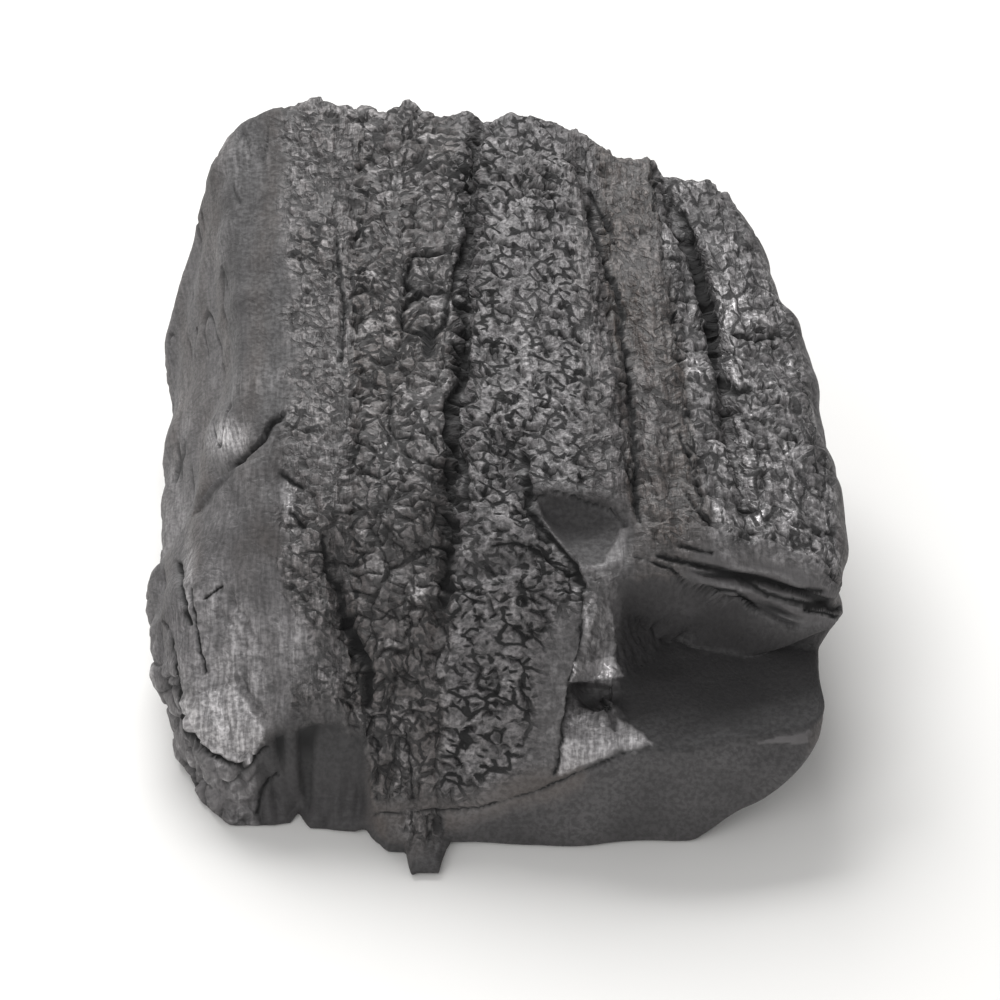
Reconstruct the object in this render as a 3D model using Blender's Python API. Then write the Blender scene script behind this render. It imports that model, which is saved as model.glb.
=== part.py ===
"""A lump of hardwood charcoal, split from a log: one closed solid that rests on its flat broken underside.

Run it with  blender --background --python part.py  or from Blender's text editor.

The lump stands as it lies on a table. +X is to the right and +Y away from the eye, along the wood's grain, and
+Z is up. Lengths in this file are in millimetres, and the mesh is scaled to metres at the end. While the lump is
shaped, y is 0 at its front end face, x is 0 near the middle of that face and z is 0 on the table. At the end it
is moved so that the origin is the middle of its box, on the table.

The skin is where skin_distance(points) is 0. It is built as a break would make it: a few flat, scooped or curved
faces cut the block of wood, and wide fissures then open along and across the grain.
"""

import bmesh
import bpy
import numpy as np

# Driving dimensions, in millimetres.
HEIGHT = 67.0  # the top at the back of the lump
SHELF_HEIGHT = 25.0  # the step left where the upper layer broke away, at the right
SHELF_DEPTH = 20.7  # from the end face back to the nearest part of the upper layer's torn end
LEFT_SIDE = -66.0
RIGHT_SIDE = 64.5
BACK = 135.0  # the middle of the back face
BACK_STEP = 5.0  # how far the upper layer stands out at the back
WRINKLE = 1.1  # how far the faces wander from true ones
TRIANGLES = 9000
SEED = 11

GRID_CUTS = 99  # cuts along each side of the starting box
SLIDE_STEPS = 18  # halvings of each vertex's way to the skin
FLAT_BELOW = 0.06  # vertices lower than this lie on the flat underside

# The box that the vertices start on, and the flat slab inside the wood that they slide towards.
BOX_CENTRE = np.array([0.0, 66.0, 36.0])
BOX_HALF = np.array([78.0, 90.0, 50.0])
SLAB_CENTRE = np.array([0.0, 66.0, 12.0])
SLAB_HALF = np.array([38.0, 36.0, 3.0])

# Fissures and furrows in the top: the line seen from above as (x, y) points, half width, depth.
VALLEY_LINE = ((-16, 0), (-13.5, 5), (-11, 12), (-9.5, 22), (-8.5, 33), (-7.7, 56), (-5.9, 83), (-4, 132))
VALLEY = {"valley": (VALLEY_LINE, 1.7, 3.8)}
TOP_FISSURES = {
    "furrow": (((26, 20), (25.7, 33), (25.2, 50), (23.4, 74), (19.8, 100), (18, 126)), 3.0, 1.8),
    "left_furrow": (((-26, 6), (-26, 30), (-24, 60), (-25, 90), (-22, 140)), 3.0, 1.2),
    "right_split": (((46, 30), (42.8, 53), (41.4, 68), (39.2, 88), (33.7, 108), (31, 126)), 1.5, 2.8),
    "front_split": (((-30, 30), (-28, 22), (-24.3, 13), (-23.4, 7)), 1.8, 2.6),
    "back_split": (((16.2, 126), (18.5, 103), (20, 96)), 1.8, 2.6),
    "cross_crack": (((-8, 24.5), (-3, 23), (5, 23.3)), 1.7, 2.5),
    "chip_crack": (((3, 46), (4, 38), (8.5, 27), (13.5, 20)), 1.8, 2.4),
}

# Splits along the grain in the two sides: the line seen from that side as (y, z) points, half width, depth.
RIGHT_SPLITS = {
    "layer": (((20, 40), (40, 38), (66, 41), (90, 38), (116, 40)), 1.6, 2.6),
    "lower": (((44, 20), (62, 22), (82, 19)), 1.3, 2.2),
}
LEFT_SPLITS = {
    "lower": (((62, 13), (84, 15), (104, 13), (126, 16)), 1.5, 2.2),
    "front": (((22, 21), (34, 26), (46, 25)), 1.2, 1.8),
}


def ripples(points, length, seed, waves=16):
    """A smooth random field, mostly from -1 to 1: plane waves of about this length, in random directions.

    Give points with one axis shrunk to stretch the field along it."""
    draw = np.random.default_rng(seed)
    directions = draw.normal(size=(points.shape[1], waves))
    directions /= np.linalg.norm(directions, axis=0)
    wavelengths = length * draw.uniform(0.7, 1.5, waves)
    phases = draw.uniform(0.0, 2.0 * np.pi, waves)
    return np.sin(points @ (directions * 2.0 * np.pi / wavelengths) + phases).sum(axis=1) / np.sqrt(2.0 * waves)


def smooth_max(a, b, round_over):
    """The larger of two distances, with the edge between their faces rounded over about this far."""
    near = np.maximum(round_over - np.abs(a - b), 0.0) / round_over
    return np.maximum(a, b) + near * near * round_over / 4.0


def smooth_step(values, low, high):
    """0 below low, 1 above high, and a smooth rise between them."""
    share = np.clip((values - low) / (high - low), 0.0, 1.0)
    return share * share * (3.0 - 2.0 * share)


def hump(values, middle, half_width):
    """1 at the middle, falling off smoothly to both sides."""
    return np.exp(-(((values - middle) / half_width) ** 2))


def band(values, low, high, fade):
    """1 between low and high, fading to 0 over this far outside them."""
    return smooth_step(values, low - fade, low) * (1.0 - smooth_step(values, high, high + fade))


def plane(points, through, normal):
    """Distance outside the plane through a point, on the side that the normal points to."""
    normal = np.array(normal) / np.linalg.norm(normal)
    return (points - np.array(through)) @ normal


def line_distance(u, v, path):
    """Distance to a line of straight stretches, all in one flat view."""
    nearest = np.full(len(u), np.inf)
    for (u0, v0), (u1, v1) in zip(path, path[1:]):
        du, dv = u1 - u0, v1 - v0
        share = np.clip(((u - u0) * du + (v - v0) * dv) / (du * du + dv * dv), 0.0, 1.0)
        nearest = np.minimum(nearest, np.hypot(u - u0 - share * du, v - v0 - share * dv))
    return nearest


def opened(u, v, fissures):
    """How deep the fissures have opened at each place of one flat view."""
    depths = np.zeros(len(u))
    for path, half_width, depth in fissures.values():
        depths = np.maximum(depths, depth * hump(line_distance(u, v, path), 0.0, half_width))
    return depths


def top_height(x, y):
    """The charred top: a steep front slope that levels out, a little crowned across, with its fissures."""
    foot = 7.5 + 5.0 * smooth_step(x, -6.0, 8.0) + 13.0 * smooth_step(x, 6.0, 30.0)
    rise = HEIGHT - foot
    lift = 0.87 * rise * (1.0 - np.exp(-np.maximum(y, -0.8) / 17.0)) + 0.13 * rise * y / BACK
    height = foot + lift - 0.0030 * (x - 5.0) ** 2
    height += 1.5 * smooth_step(x, -8.0, -2.0) * (1.0 - smooth_step(x, 15.0, 24.0))
    height += 0.8 * ripples(np.stack([x, 0.12 * y], axis=1), 11.0, SEED + 20)
    closing = 0.25 + 0.75 * smooth_step(y, 5.0, 26.0)
    return height - np.maximum(closing * opened(x, y, VALLEY), opened(x, y, TOP_FISSURES))


def left_face(x, y, z):
    """The smooth split down the left: a slope that a long scoop hollows out behind a step."""
    lean = 24.0 - 0.090 * y
    behind = y - 50.0 + 0.10 * (z - 40.0)
    scoop = 2.8 * smooth_step(behind, -0.8, 1.2) * np.exp(-np.maximum(behind, 0.0) / 26.0)
    hollowed = 2.2 * hump(z, 42.0, 15.0) * hump(y, 88.0, 34.0)
    flutes = 0.35 * np.sin(0.9 * (y + 0.8 * z)) * hump(y, 22.0, 14.0)
    face = 0.86 * (LEFT_SIDE + (z - 20.0) / 38.0 * lean - x)
    return face + scoop + hollowed + flutes + opened(y, z, LEFT_SPLITS)


def front_face(x, y, z):
    """The end nearest the eye: flat at the right, hollowed at the left, with a spur and low toes at its foot."""
    set_back = 7.0 * (1.0 - smooth_step(x, -26.5, -22.5)) + 1.2 * hump(x, -33.0, 6.0)
    spur = 7.6 * band(x, -16.0, -10.6, 1.8) + 2.4 * band(x, -20.5, -17.8, 2.5)
    toes = 4.5 * band(x, -34.0, -26.5, 2.5) + 3.0 * band(x, -52.0, -38.0, 2.5)
    return set_back - spur * (1.0 - smooth_step(z, 1.5, 10.0)) - toes * (1.0 - smooth_step(z, 0.8, 5.5)) - y


def back_face(x, y, z):
    """The broken far end: the upper layer stands out from the lower one, and both are ragged with fibres."""
    stands_out = BACK_STEP * smooth_step(z, 29.0, 33.0) * smooth_step(x, -58.0, -30.0)
    ragged = 1.3 * ripples(np.stack([x, 0.3 * z], axis=1), 9.0, SEED + 30) * smooth_step(y, 90.0, 110.0)
    return 0.95 * (y - BACK + BACK_STEP - stands_out + ragged) + 0.31 * x


def ledge_face(x, y, z):
    """The upper layer's end: torn and sloping above, leaning in under its edge, then a pocket.

    The torn part's lower edge falls to the right, and the pocket's upper edge curves up to both sides."""
    above = z - 36.5 - 11.5 * (1.0 - smooth_step(x, 31.0, 56.0))
    edge = SHELF_DEPTH + 0.02 * (x - 40.0) - 1.3 * hump(x, 63.0, 9.0)
    sloping = (1.15 - 0.60 * smooth_step(x, 32.0, 45.0)) * np.maximum(above, 0.0)
    leaning = 0.29 * np.maximum(-above, 0.0)
    pocket = 3.5 * smooth_step(24.6 + 0.030 * (x - 42.0) ** 2 - z, -1.0, 2.5)
    return 0.88 * (edge + sloping + leaning + pocket - y)


def notch(x, y, z):
    """Outside distance of what stays beside the step: behind its ledge, below its shelf or left of its wall.

    A small slope at the wall's foot climbs away from the eye, and ends in a nick."""
    shelf = z - SHELF_HEIGHT - 0.05 * (x - 40.0)
    wall = 0.80 * (x - 14.5 + 0.12 * (44.0 - z) - 0.80 * smooth_max(y - 10.0, np.zeros(len(x)), 4.0))
    slope = 16.2 + 0.58 * (x - 12.6) + np.maximum(y, 0.0)
    ramp = 0.7 * (z - slope + 8.0 * smooth_step(y, 8.0, 12.0) + 2.2 * np.maximum(x - 20.5, 0.0))
    step = smooth_max(smooth_max(-shelf, -wall, 2.5), -ramp, 1.5)
    return -smooth_max(-ledge_face(x, y, z), step, 1.6)


def chip(x, y, z):
    """Inside distance of the chipped hollow above the wall, with a flat floor and a curved back."""
    hollow = smooth_max(49.0 + 0.15 * (y - 21.0) - z, 0.9 * (y - 33.5 + 0.25 * (x - 15.0)), 5.0)
    hollow = smooth_max(hollow, 0.83 * (6.0 + 0.62 * (33.0 - y) - x), 4.0)
    return -smooth_max(hollow, 0.9 * (x - 27.0), 4.0)


def skin_distance(points):
    """About how far each point lies outside the lump, in millimetres; less than 0 inside."""
    wander = np.stack([ripples(points, 34.0, SEED + axis) for axis in range(3)], axis=1)
    small_wander = np.stack([ripples(points, 11.0, SEED + 5 + axis) for axis in range(3)], axis=1)
    moved = points + WRINKLE * wander + 0.35 * WRINKLE * small_wander
    x, y, z = moved.T

    far = np.maximum(y - 24.0, 0.0)
    right = x - (RIGHT_SIDE + 1.0 - 0.04 * far - 0.0017 * far * far) + opened(y, z, RIGHT_SPLITS)
    right = smooth_max(right, plane(moved, (RIGHT_SIDE - 4.3, 3, 27), (0.95, 0.0, -0.31)), 4.0)
    fluted = plane(moved, (-46, 4, 15), (-0.45, -0.68, 0.58)) - 0.4 * np.sin(0.75 * (x + 0.5 * y))
    left_foot = plane(moved, (LEFT_SIDE, 60, 18), (-0.96, 0, -0.26))
    right_corner = plane(moved, (34.8, 0, 0), (0.62, -0.30, -0.72))
    under_back = plane(moved, (0, 98, 0), (0.05, 0.22, -0.97))
    under_left = plane(moved, (-28, 74, 0), (-0.20, 0.10, -0.97))
    front_left = plane(moved, (-52, 8, 0), (-0.86, -0.51, -0.05))
    back_left = plane(moved, (-52, 142, 20), (-0.72, 0.69, 0.0))
    back_foot = plane(moved, (0, BACK - 2.0, 20), (0.28, 0.80, -0.53))

    distance = smooth_max(0.80 * (z - top_height(x, y)), left_face(x, y, z), 2.5)
    distance = smooth_max(distance, right, 7.0)
    distance = smooth_max(distance, back_face(x, y, z), 6.0)
    distance = smooth_max(distance, fluted, 6.0)
    for face in (left_foot, back_foot, front_left, back_left, right_corner):
        distance = smooth_max(distance, face, 4.0)
    for face in (under_back, under_left):
        distance = smooth_max(distance, face, 2.0)
    distance = smooth_max(distance, front_face(x, y, z), 1.2)
    distance = smooth_max(distance, notch(x, y, z), 1.0)

    flake = 16.0 - np.linalg.norm(moved - np.array([-77.0, 108.0, 8.0]), axis=1)
    shell = 30.0 - np.linalg.norm(moved - np.array([88.0, 92.0, 14.0]), axis=1)
    for scoop in (chip(x, y, z), flake, shell):
        distance = smooth_max(distance, scoop, 0.8)
    return smooth_max(distance, -points[:, 2], 1.5)


def on_the_skin(share):
    """Each point of the box, as shares from -1 to 1 of its half sizes, slid in to where it meets the skin."""
    outer = BOX_CENTRE + share * BOX_HALF
    inner = SLAB_CENTRE + share * SLAB_HALF
    low = np.zeros(len(share))
    high = np.ones(len(share))
    for _ in range(SLIDE_STEPS):
        middle = (low + high) / 2.0
        inside = skin_distance(inner + (outer - inner) * middle[:, None]) < 0.0
        low = np.where(inside, middle, low)
        high = np.where(inside, high, middle)
    return inner + (outer - inner) * low[:, None]


def clear_scene():
    """Remove whatever the scene holds."""
    for thing in list(bpy.data.objects):
        bpy.data.objects.remove(thing, do_unlink=True)


def charcoal_material():
    """Dull dark grey char, with the faint sheen of graphite."""
    material = bpy.data.materials.new("charcoal")
    material.use_nodes = True
    shader = material.node_tree.nodes["Principled BSDF"]
    shader.inputs["Base Color"].default_value = (0.055, 0.053, 0.051, 1.0)
    shader.inputs["Roughness"].default_value = 0.55
    shader.inputs["Metallic"].default_value = 0.0
    return material


def fine_skin():
    """The lump's mesh with many small faces: a subdivided box whose vertices are slid onto the skin."""
    shape = bmesh.new()
    bmesh.ops.create_cube(shape, size=2.0)
    bmesh.ops.subdivide_edges(shape, edges=shape.edges[:], cuts=GRID_CUTS, use_grid_fill=True)
    share = np.array([vertex.co for vertex in shape.verts])
    skin = on_the_skin(share)
    skin[:, 2] = np.where(skin[:, 2] < FLAT_BELOW, 0.0, skin[:, 2])
    for vertex, place in zip(shape.verts, skin * 0.001):
        vertex.co = place
    mesh = bpy.data.meshes.new("fine_skin")
    shape.to_mesh(mesh)
    shape.free()
    return mesh


def thinned(fine, collection):
    """The fine mesh with fewer triangles, most of them where the skin bends.

    Its underside is made flat again, and the middle of its footprint's box comes to the origin."""
    holder = bpy.data.objects.new("fine_skin", fine)
    collection.objects.link(holder)
    thin = holder.modifiers.new("thin", "DECIMATE")
    thin.ratio = TRIANGLES / (2 * len(fine.polygons))
    thin.use_collapse_triangulate = True
    mesh = bpy.data.meshes.new_from_object(holder.evaluated_get(bpy.context.evaluated_depsgraph_get()))
    places = np.array([vertex.co for vertex in mesh.vertices])
    places[:, :2] -= (places[:, :2].min(axis=0) + places[:, :2].max(axis=0)) / 2.0
    places[:, 2] = np.where(places[:, 2] < FLAT_BELOW * 0.001, 0.0, places[:, 2])
    mesh.vertices.foreach_set("co", places.ravel())
    bpy.data.objects.remove(holder, do_unlink=True)
    bpy.data.meshes.remove(fine)
    mesh.name = "charcoal_lump"
    return mesh


def main():
    """Build the lump in a collection named for it."""
    clear_scene()
    collection = bpy.data.collections.new("charcoal")
    bpy.context.scene.collection.children.link(collection)
    mesh = thinned(fine_skin(), collection)
    mesh.materials.append(charcoal_material())
    collection.objects.link(bpy.data.objects.new("charcoal_lump", mesh))


main()
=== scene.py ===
"""A split lump of hardwood charcoal on a pale studio table.

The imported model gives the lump's place and size. The piece here has the same form, worked out again on a
much finer grid, with the relief that fire leaves in wood: blocks, hair cracks, fibres, flutes and nodules.

Lengths are in millimetres while the lump is shaped, and in metres from the finished mesh on. While it is
shaped, y is 0 at the near end and grows along the grain, x is 0 near that end's middle, z is 0 on the table.
"""

import logging
import math
from collections.abc import Iterable
from dataclasses import dataclass, field
from enum import Enum
from functools import partial

import bpy
import numpy as np
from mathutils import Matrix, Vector


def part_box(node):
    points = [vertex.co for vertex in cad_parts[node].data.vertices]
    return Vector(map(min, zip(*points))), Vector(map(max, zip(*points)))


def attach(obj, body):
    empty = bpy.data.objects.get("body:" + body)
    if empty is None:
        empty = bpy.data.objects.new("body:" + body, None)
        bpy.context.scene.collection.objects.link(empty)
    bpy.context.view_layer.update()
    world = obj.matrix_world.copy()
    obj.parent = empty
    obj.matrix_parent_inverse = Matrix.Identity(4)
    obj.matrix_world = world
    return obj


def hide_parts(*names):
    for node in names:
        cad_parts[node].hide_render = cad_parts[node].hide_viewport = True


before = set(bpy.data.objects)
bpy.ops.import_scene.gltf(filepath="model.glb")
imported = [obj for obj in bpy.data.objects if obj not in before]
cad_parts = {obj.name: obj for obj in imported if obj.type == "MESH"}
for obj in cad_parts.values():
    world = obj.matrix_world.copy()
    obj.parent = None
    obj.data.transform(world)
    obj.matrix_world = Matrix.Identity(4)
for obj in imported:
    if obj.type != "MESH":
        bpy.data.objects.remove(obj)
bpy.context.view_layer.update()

Array = np.ndarray
Socket = bpy.types.NodeSocket
Path = tuple[tuple[float, float], ...]
Finding = dict[str, Array | float]
MM = 0.001
# Of these masks, the first is painted shade: it darkens cracks, pits, gaps, the shelf and other recesses.
# The fourth is the darker, rougher colour of clean breaks, and in places painted shade as well.
# The second is a silvery lustre and a painted highlight: it turns the colour towards a pale silver.
MASKS = ("painted_shade", "sheen", "brown", "smooth", "checked", "fibrous", "blocky")
LOG = logging.getLogger("charcoal")


# Random fields. Each one gives the same numbers on every run.

WAVES = 16


def rows(*columns: Array) -> Array:
    """These columns side by side: one row for each place."""
    return np.stack(columns, axis=1)


def ripples(points: Array, length: float, seed: int) -> Array:
    """Sum of plane waves in random directions, mostly from -1 to 1.

    Each wave is the sine of the point's distance along its direction, over its wavelength, plus a phase.

    Args:
        points: one row of two or three coordinates for each place.
        length: about how long a wave is, in the points' unit.
        seed: which random draw to use.

    Returns:
        One number for each place.
    """
    draw = np.random.default_rng(seed)
    directions = draw.normal(size=(points.shape[1], WAVES))
    directions /= np.linalg.norm(directions, axis=0)
    wavelengths = length * draw.uniform(0.7, 1.5, WAVES)
    phases = draw.uniform(0.0, 2.0 * np.pi, WAVES)
    turns = points @ (directions * 2.0 * np.pi / wavelengths) + phases
    return np.sin(turns).sum(axis=1) / np.sqrt(2.0 * WAVES)


def hashed(cells: Array, seed: int, count: int) -> Array:
    """Random numbers from 0 to 1 that belong to whole-number cells.

    The cell's numbers are multiplied by large primes, joined and stirred, so neighbours share nothing.

    Args:
        cells: one row of whole numbers for each place.
        seed: which set of numbers to use.
        count: how many numbers each cell has.

    Returns:
        A row of count numbers for each place.
    """
    primes = np.array([73856093, 19349663, 83492791][: cells.shape[1]], dtype=np.int64)
    mixed = (cells.astype(np.int64) * primes).sum(axis=1) + seed * 40503007
    numbers = np.empty((len(cells), count))
    for column in range(count):
        mixed = (mixed ^ (mixed >> 15)) * 2246822519 + column * 3266489917
        mixed ^= mixed >> 13
        numbers[:, column] = ((mixed * 668265263) >> 12 & 0xFFFFF) / 1048575.0
    return numbers


def noise(points: Array, length: float, seed: int) -> Array:
    """Gradient noise, about -1 to 1.

    Every corner of a square or cubic lattice has a random slope, and each place takes the heights that the
    slopes of its corners give it, blended by the curve 6t^5 - 15t^4 + 10t^3.

    Args:
        points: one row of two or three coordinates for each place.
        length: the lattice's spacing.
        seed: which random slopes to use.

    Returns:
        One number for each place.
    """
    scaled = points / length
    base = np.floor(scaled).astype(np.int64)
    inside = scaled - base
    fade = inside**3 * (inside * (inside * 6.0 - 15.0) + 10.0)
    total = np.zeros(len(points))
    for corner in np.ndindex(*(2,) * points.shape[1]):
        step = np.array(corner)
        slope = hashed(base + step, seed, points.shape[1]) * 2.0 - 1.0
        weight = np.prod(np.where(step == 1, fade, 1.0 - fade), axis=1)
        total += weight * ((inside - step) * slope).sum(axis=1)
    return total * 1.8


def fractal(points: Array, length: float, seed: int, octaves: int) -> Array:
    """Noise with finer noise of half the height added to it, octave after octave."""
    return sum(noise(points, length / 2.0**octave, seed + octave) / 2.0**octave for octave in range(octaves))


@dataclass
class Cells:
    """What each place knows of the random cells around it.

    Attributes:
        nearest: distance to the nearest cell's seed, in cells.
        to_edge: how much farther the second nearest seed is: 0 on the edge between two cells.
        offset: the place less its cell's seed.
        numbers: four random numbers that belong to its cell.
    """

    nearest: Array
    to_edge: Array
    offset: Array
    numbers: Array

    @classmethod
    def around(cls, points: Array, seed: int) -> "Cells":
        """Find each place's cell among one jittered seed in each unit square or cube."""
        home = np.floor(points).astype(np.int64)
        first = np.full(len(points), 9.0)
        second = first.copy()
        offset = np.zeros(points.shape)
        numbers = np.zeros((len(points), 4))
        for step in np.ndindex(*(3,) * points.shape[1]):
            cell = home + np.array(step) - 1
            drawn = hashed(cell, seed, points.shape[1] + 4)
            away = points - cell - drawn[:, : points.shape[1]] * 0.86 - 0.07
            distance = np.linalg.norm(away, axis=1)
            closer = distance < first
            second = np.where(closer, first, np.minimum(second, distance))
            first = np.where(closer, distance, first)
            offset = np.where(closer[:, None], away, offset)
            numbers = np.where(closer[:, None], drawn[:, points.shape[1] :], numbers)
        return cls(first, second - first, offset, numbers)

    def tilt(self) -> Array:
        """How high each place lies on its cell's own plane, which is tilted at random."""
        return (self.offset * (self.numbers[:, 2:4] - 0.5)).sum(axis=1)


@dataclass(frozen=True)
class Dashes:
    """Short cracks scattered over a flat view, one in each cell of a jittered grid.

    Attributes:
        spacing: the cells' width across the grain and length along it.
        length: the shortest and the longest crack.
        width: distance from a crack at which its depth has fallen to a third.
        angle: the cracks' mean direction, in degrees from across the grain.
        spread: how far a crack may turn from it, in degrees.
        share: how many of the cells have one.
        seed: which random draw to use.
    """

    spacing: tuple[float, float]
    length: tuple[float, float]
    width: float
    angle: float
    spread: float
    share: float
    seed: int

    def opened(self, flat: Array) -> Array:
        """How open the cracks are at each place, from 0 to 1.

        Each crack is a short parabola, and its opening a bell curve of the distance to it.
        """
        size = np.array(self.spacing)
        home = np.floor(flat / size).astype(np.int64)
        widest = np.zeros(len(flat))
        for step in np.ndindex(3, 3):
            cell = home + np.array(step) - 1
            drawn = hashed(cell, self.seed, 6)
            away = flat - (cell + drawn[:, :2]) * size
            turn = np.radians(self.angle + self.spread * (2.0 * drawn[:, 2] - 1.0))
            half = (self.length[0] + (self.length[1] - self.length[0]) * drawn[:, 3]) / 2.0
            along = away[:, 0] * np.cos(turn) + away[:, 1] * np.sin(turn)
            side = away[:, 1] * np.cos(turn) - away[:, 0] * np.sin(turn)
            side += (drawn[:, 5] - 0.5) * 0.9 * along**2 / half
            beyond = np.maximum(np.abs(along) - half, 0.0)
            opened = hump(np.hypot(side, beyond), 0.0, self.width) * (drawn[:, 4] < self.share)
            widest = np.maximum(widest, opened)
        return widest


# Blending.


def smooth_max(a: Array, b: Array, round_over: float) -> Array:
    """The larger of two distances, with the edge between their faces rounded over about this far."""
    near = np.maximum(round_over - np.abs(a - b), 0.0) / round_over
    return np.maximum(a, b) + near * near * round_over / 4.0


def rise(values: Array, low: float, high: float) -> Array:
    """0 below low, 1 above high, and the curve 3t^2 - 2t^3 between them."""
    share = unit((values - low) / (high - low))
    return share * share * (3.0 - 2.0 * share)


def fall(values: Array, low: float, high: float) -> Array:
    """1 below low, 0 above high, and the same curve between them."""
    return 1.0 - rise(values, low, high)


def unit(values: Array) -> Array:
    """These values, held between 0 and 1."""
    return np.clip(values, 0.0, 1.0)


def band(values: Array, low: float, high: float, fade: float) -> Array:
    """1 between low and high, fading to 0 over this far outside them."""
    return rise(values, low - fade, low) * fall(values, high, high + fade)


def hump(values: Array, middle: float, half_width: float) -> Array:
    """The bell curve exp(-t^2), 1 at the middle."""
    return np.exp(-(((values - middle) / half_width) ** 2))


def plane(points: Array, through: tuple[float, float, float], normal: tuple[float, float, float]) -> Array:
    """Distance outside the plane through a point, on the side that the normal points to."""
    outward = np.array(normal) / np.linalg.norm(normal)
    return (points - np.array(through)) @ outward


def line_distance(u: Array, v: Array, path: Path) -> Array:
    """Distance to a line of straight stretches, all in one flat view."""
    nearest = np.full(len(u), np.inf)
    for (u0, v0), (u1, v1) in zip(path, path[1:]):
        du, dv = u1 - u0, v1 - v0
        share = unit(((u - u0) * du + (v - v0) * dv) / (du * du + dv * dv))
        nearest = np.minimum(nearest, np.hypot(u - u0 - share * du, v - v0 - share * dv))
    return nearest


def inside_ring(u: Array, v: Array, corners: Path, soft: float) -> Array:
    """1 inside a convex ring of corners and 0 outside it, with a border this wide, all in one flat view."""
    centre_u, centre_v = np.mean(corners, axis=0)
    least = np.full(len(u), np.inf)
    for (u0, v0), (u1, v1) in zip(corners, corners[1:] + corners[:1]):
        length = math.hypot(u1 - u0, v1 - v0)
        side = ((u1 - u0) * (v - v0) - (v1 - v0) * (u - u0)) / length
        middle = ((u1 - u0) * (centre_v - v0) - (v1 - v0) * (centre_u - u0)) / length
        least = np.minimum(least, side * math.copysign(1.0, middle))
    return rise(least, -soft / 2.0, soft / 2.0)


@dataclass(frozen=True)
class Fissure:
    """A split that opened along a line.

    Attributes:
        path: the line's points, in one flat view of the lump.
        half_width: distance from the line at which the depth has fallen to a third.
        depth: how deep it is along its line.
    """

    path: Path
    half_width: float
    depth: float

    def opened(self, u: Array, v: Array) -> Array:
        """How deep it is at each place of its flat view: its depth times a bell curve across the line."""
        return self.depth * hump(line_distance(u, v, self.path), 0.0, self.half_width)


def fissures(*listed: tuple) -> tuple[Fissure, ...]:
    """Fissures from rows of half width, depth and the line's points."""
    return tuple(Fissure(tuple(path), half_width, depth) for half_width, depth, *path in listed)


def deepest(u: Array, v: Array, listed: tuple[Fissure, ...]) -> Array:
    """The depth of the deepest of these fissures at each place."""
    return np.max([fissure.opened(u, v) for fissure in listed], axis=0)


def largest(fields: Iterable[Array]) -> Array:
    """The largest of these fields at each place."""
    return np.maximum.reduce(list(fields))


def at_least(relief: dict[str, Array], name: str, values: Array) -> None:
    """Raise one of the relief's fields to these values where it is lower."""
    relief[name] = np.maximum(relief[name], values)


def faces_between(grid: Array) -> Array:
    """Rows of four corners: the faces between the neighbours of a grid of point numbers."""
    return np.stack([grid[:-1, :-1], grid[1:, :-1], grid[1:, 1:], grid[:-1, 1:]], axis=-1).reshape(-1, 4)


class Face(Enum):
    """The faces that a break or the fire gave the lump."""

    TOP = "charred top"
    LEFT = "smooth split at the left"
    RIGHT = "split at the right"
    BACK = "torn far end"
    FLUTED = "fluted slope at the near left"
    FOOT = "rough foot"
    CORNER = "cut under the near right corner"
    FRONT = "near end"
    LEDGE = "torn end of the upper layer"
    LEAN = "smooth face under it"
    SHELF = "shelf"
    WALL = "silvery wall beside the shelf"
    RAMP = "silvery slope at its foot"
    CHIP = "chipped hollow"
    SCOOP = "flakes off the sides"
    UNDER = "underside"


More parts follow.
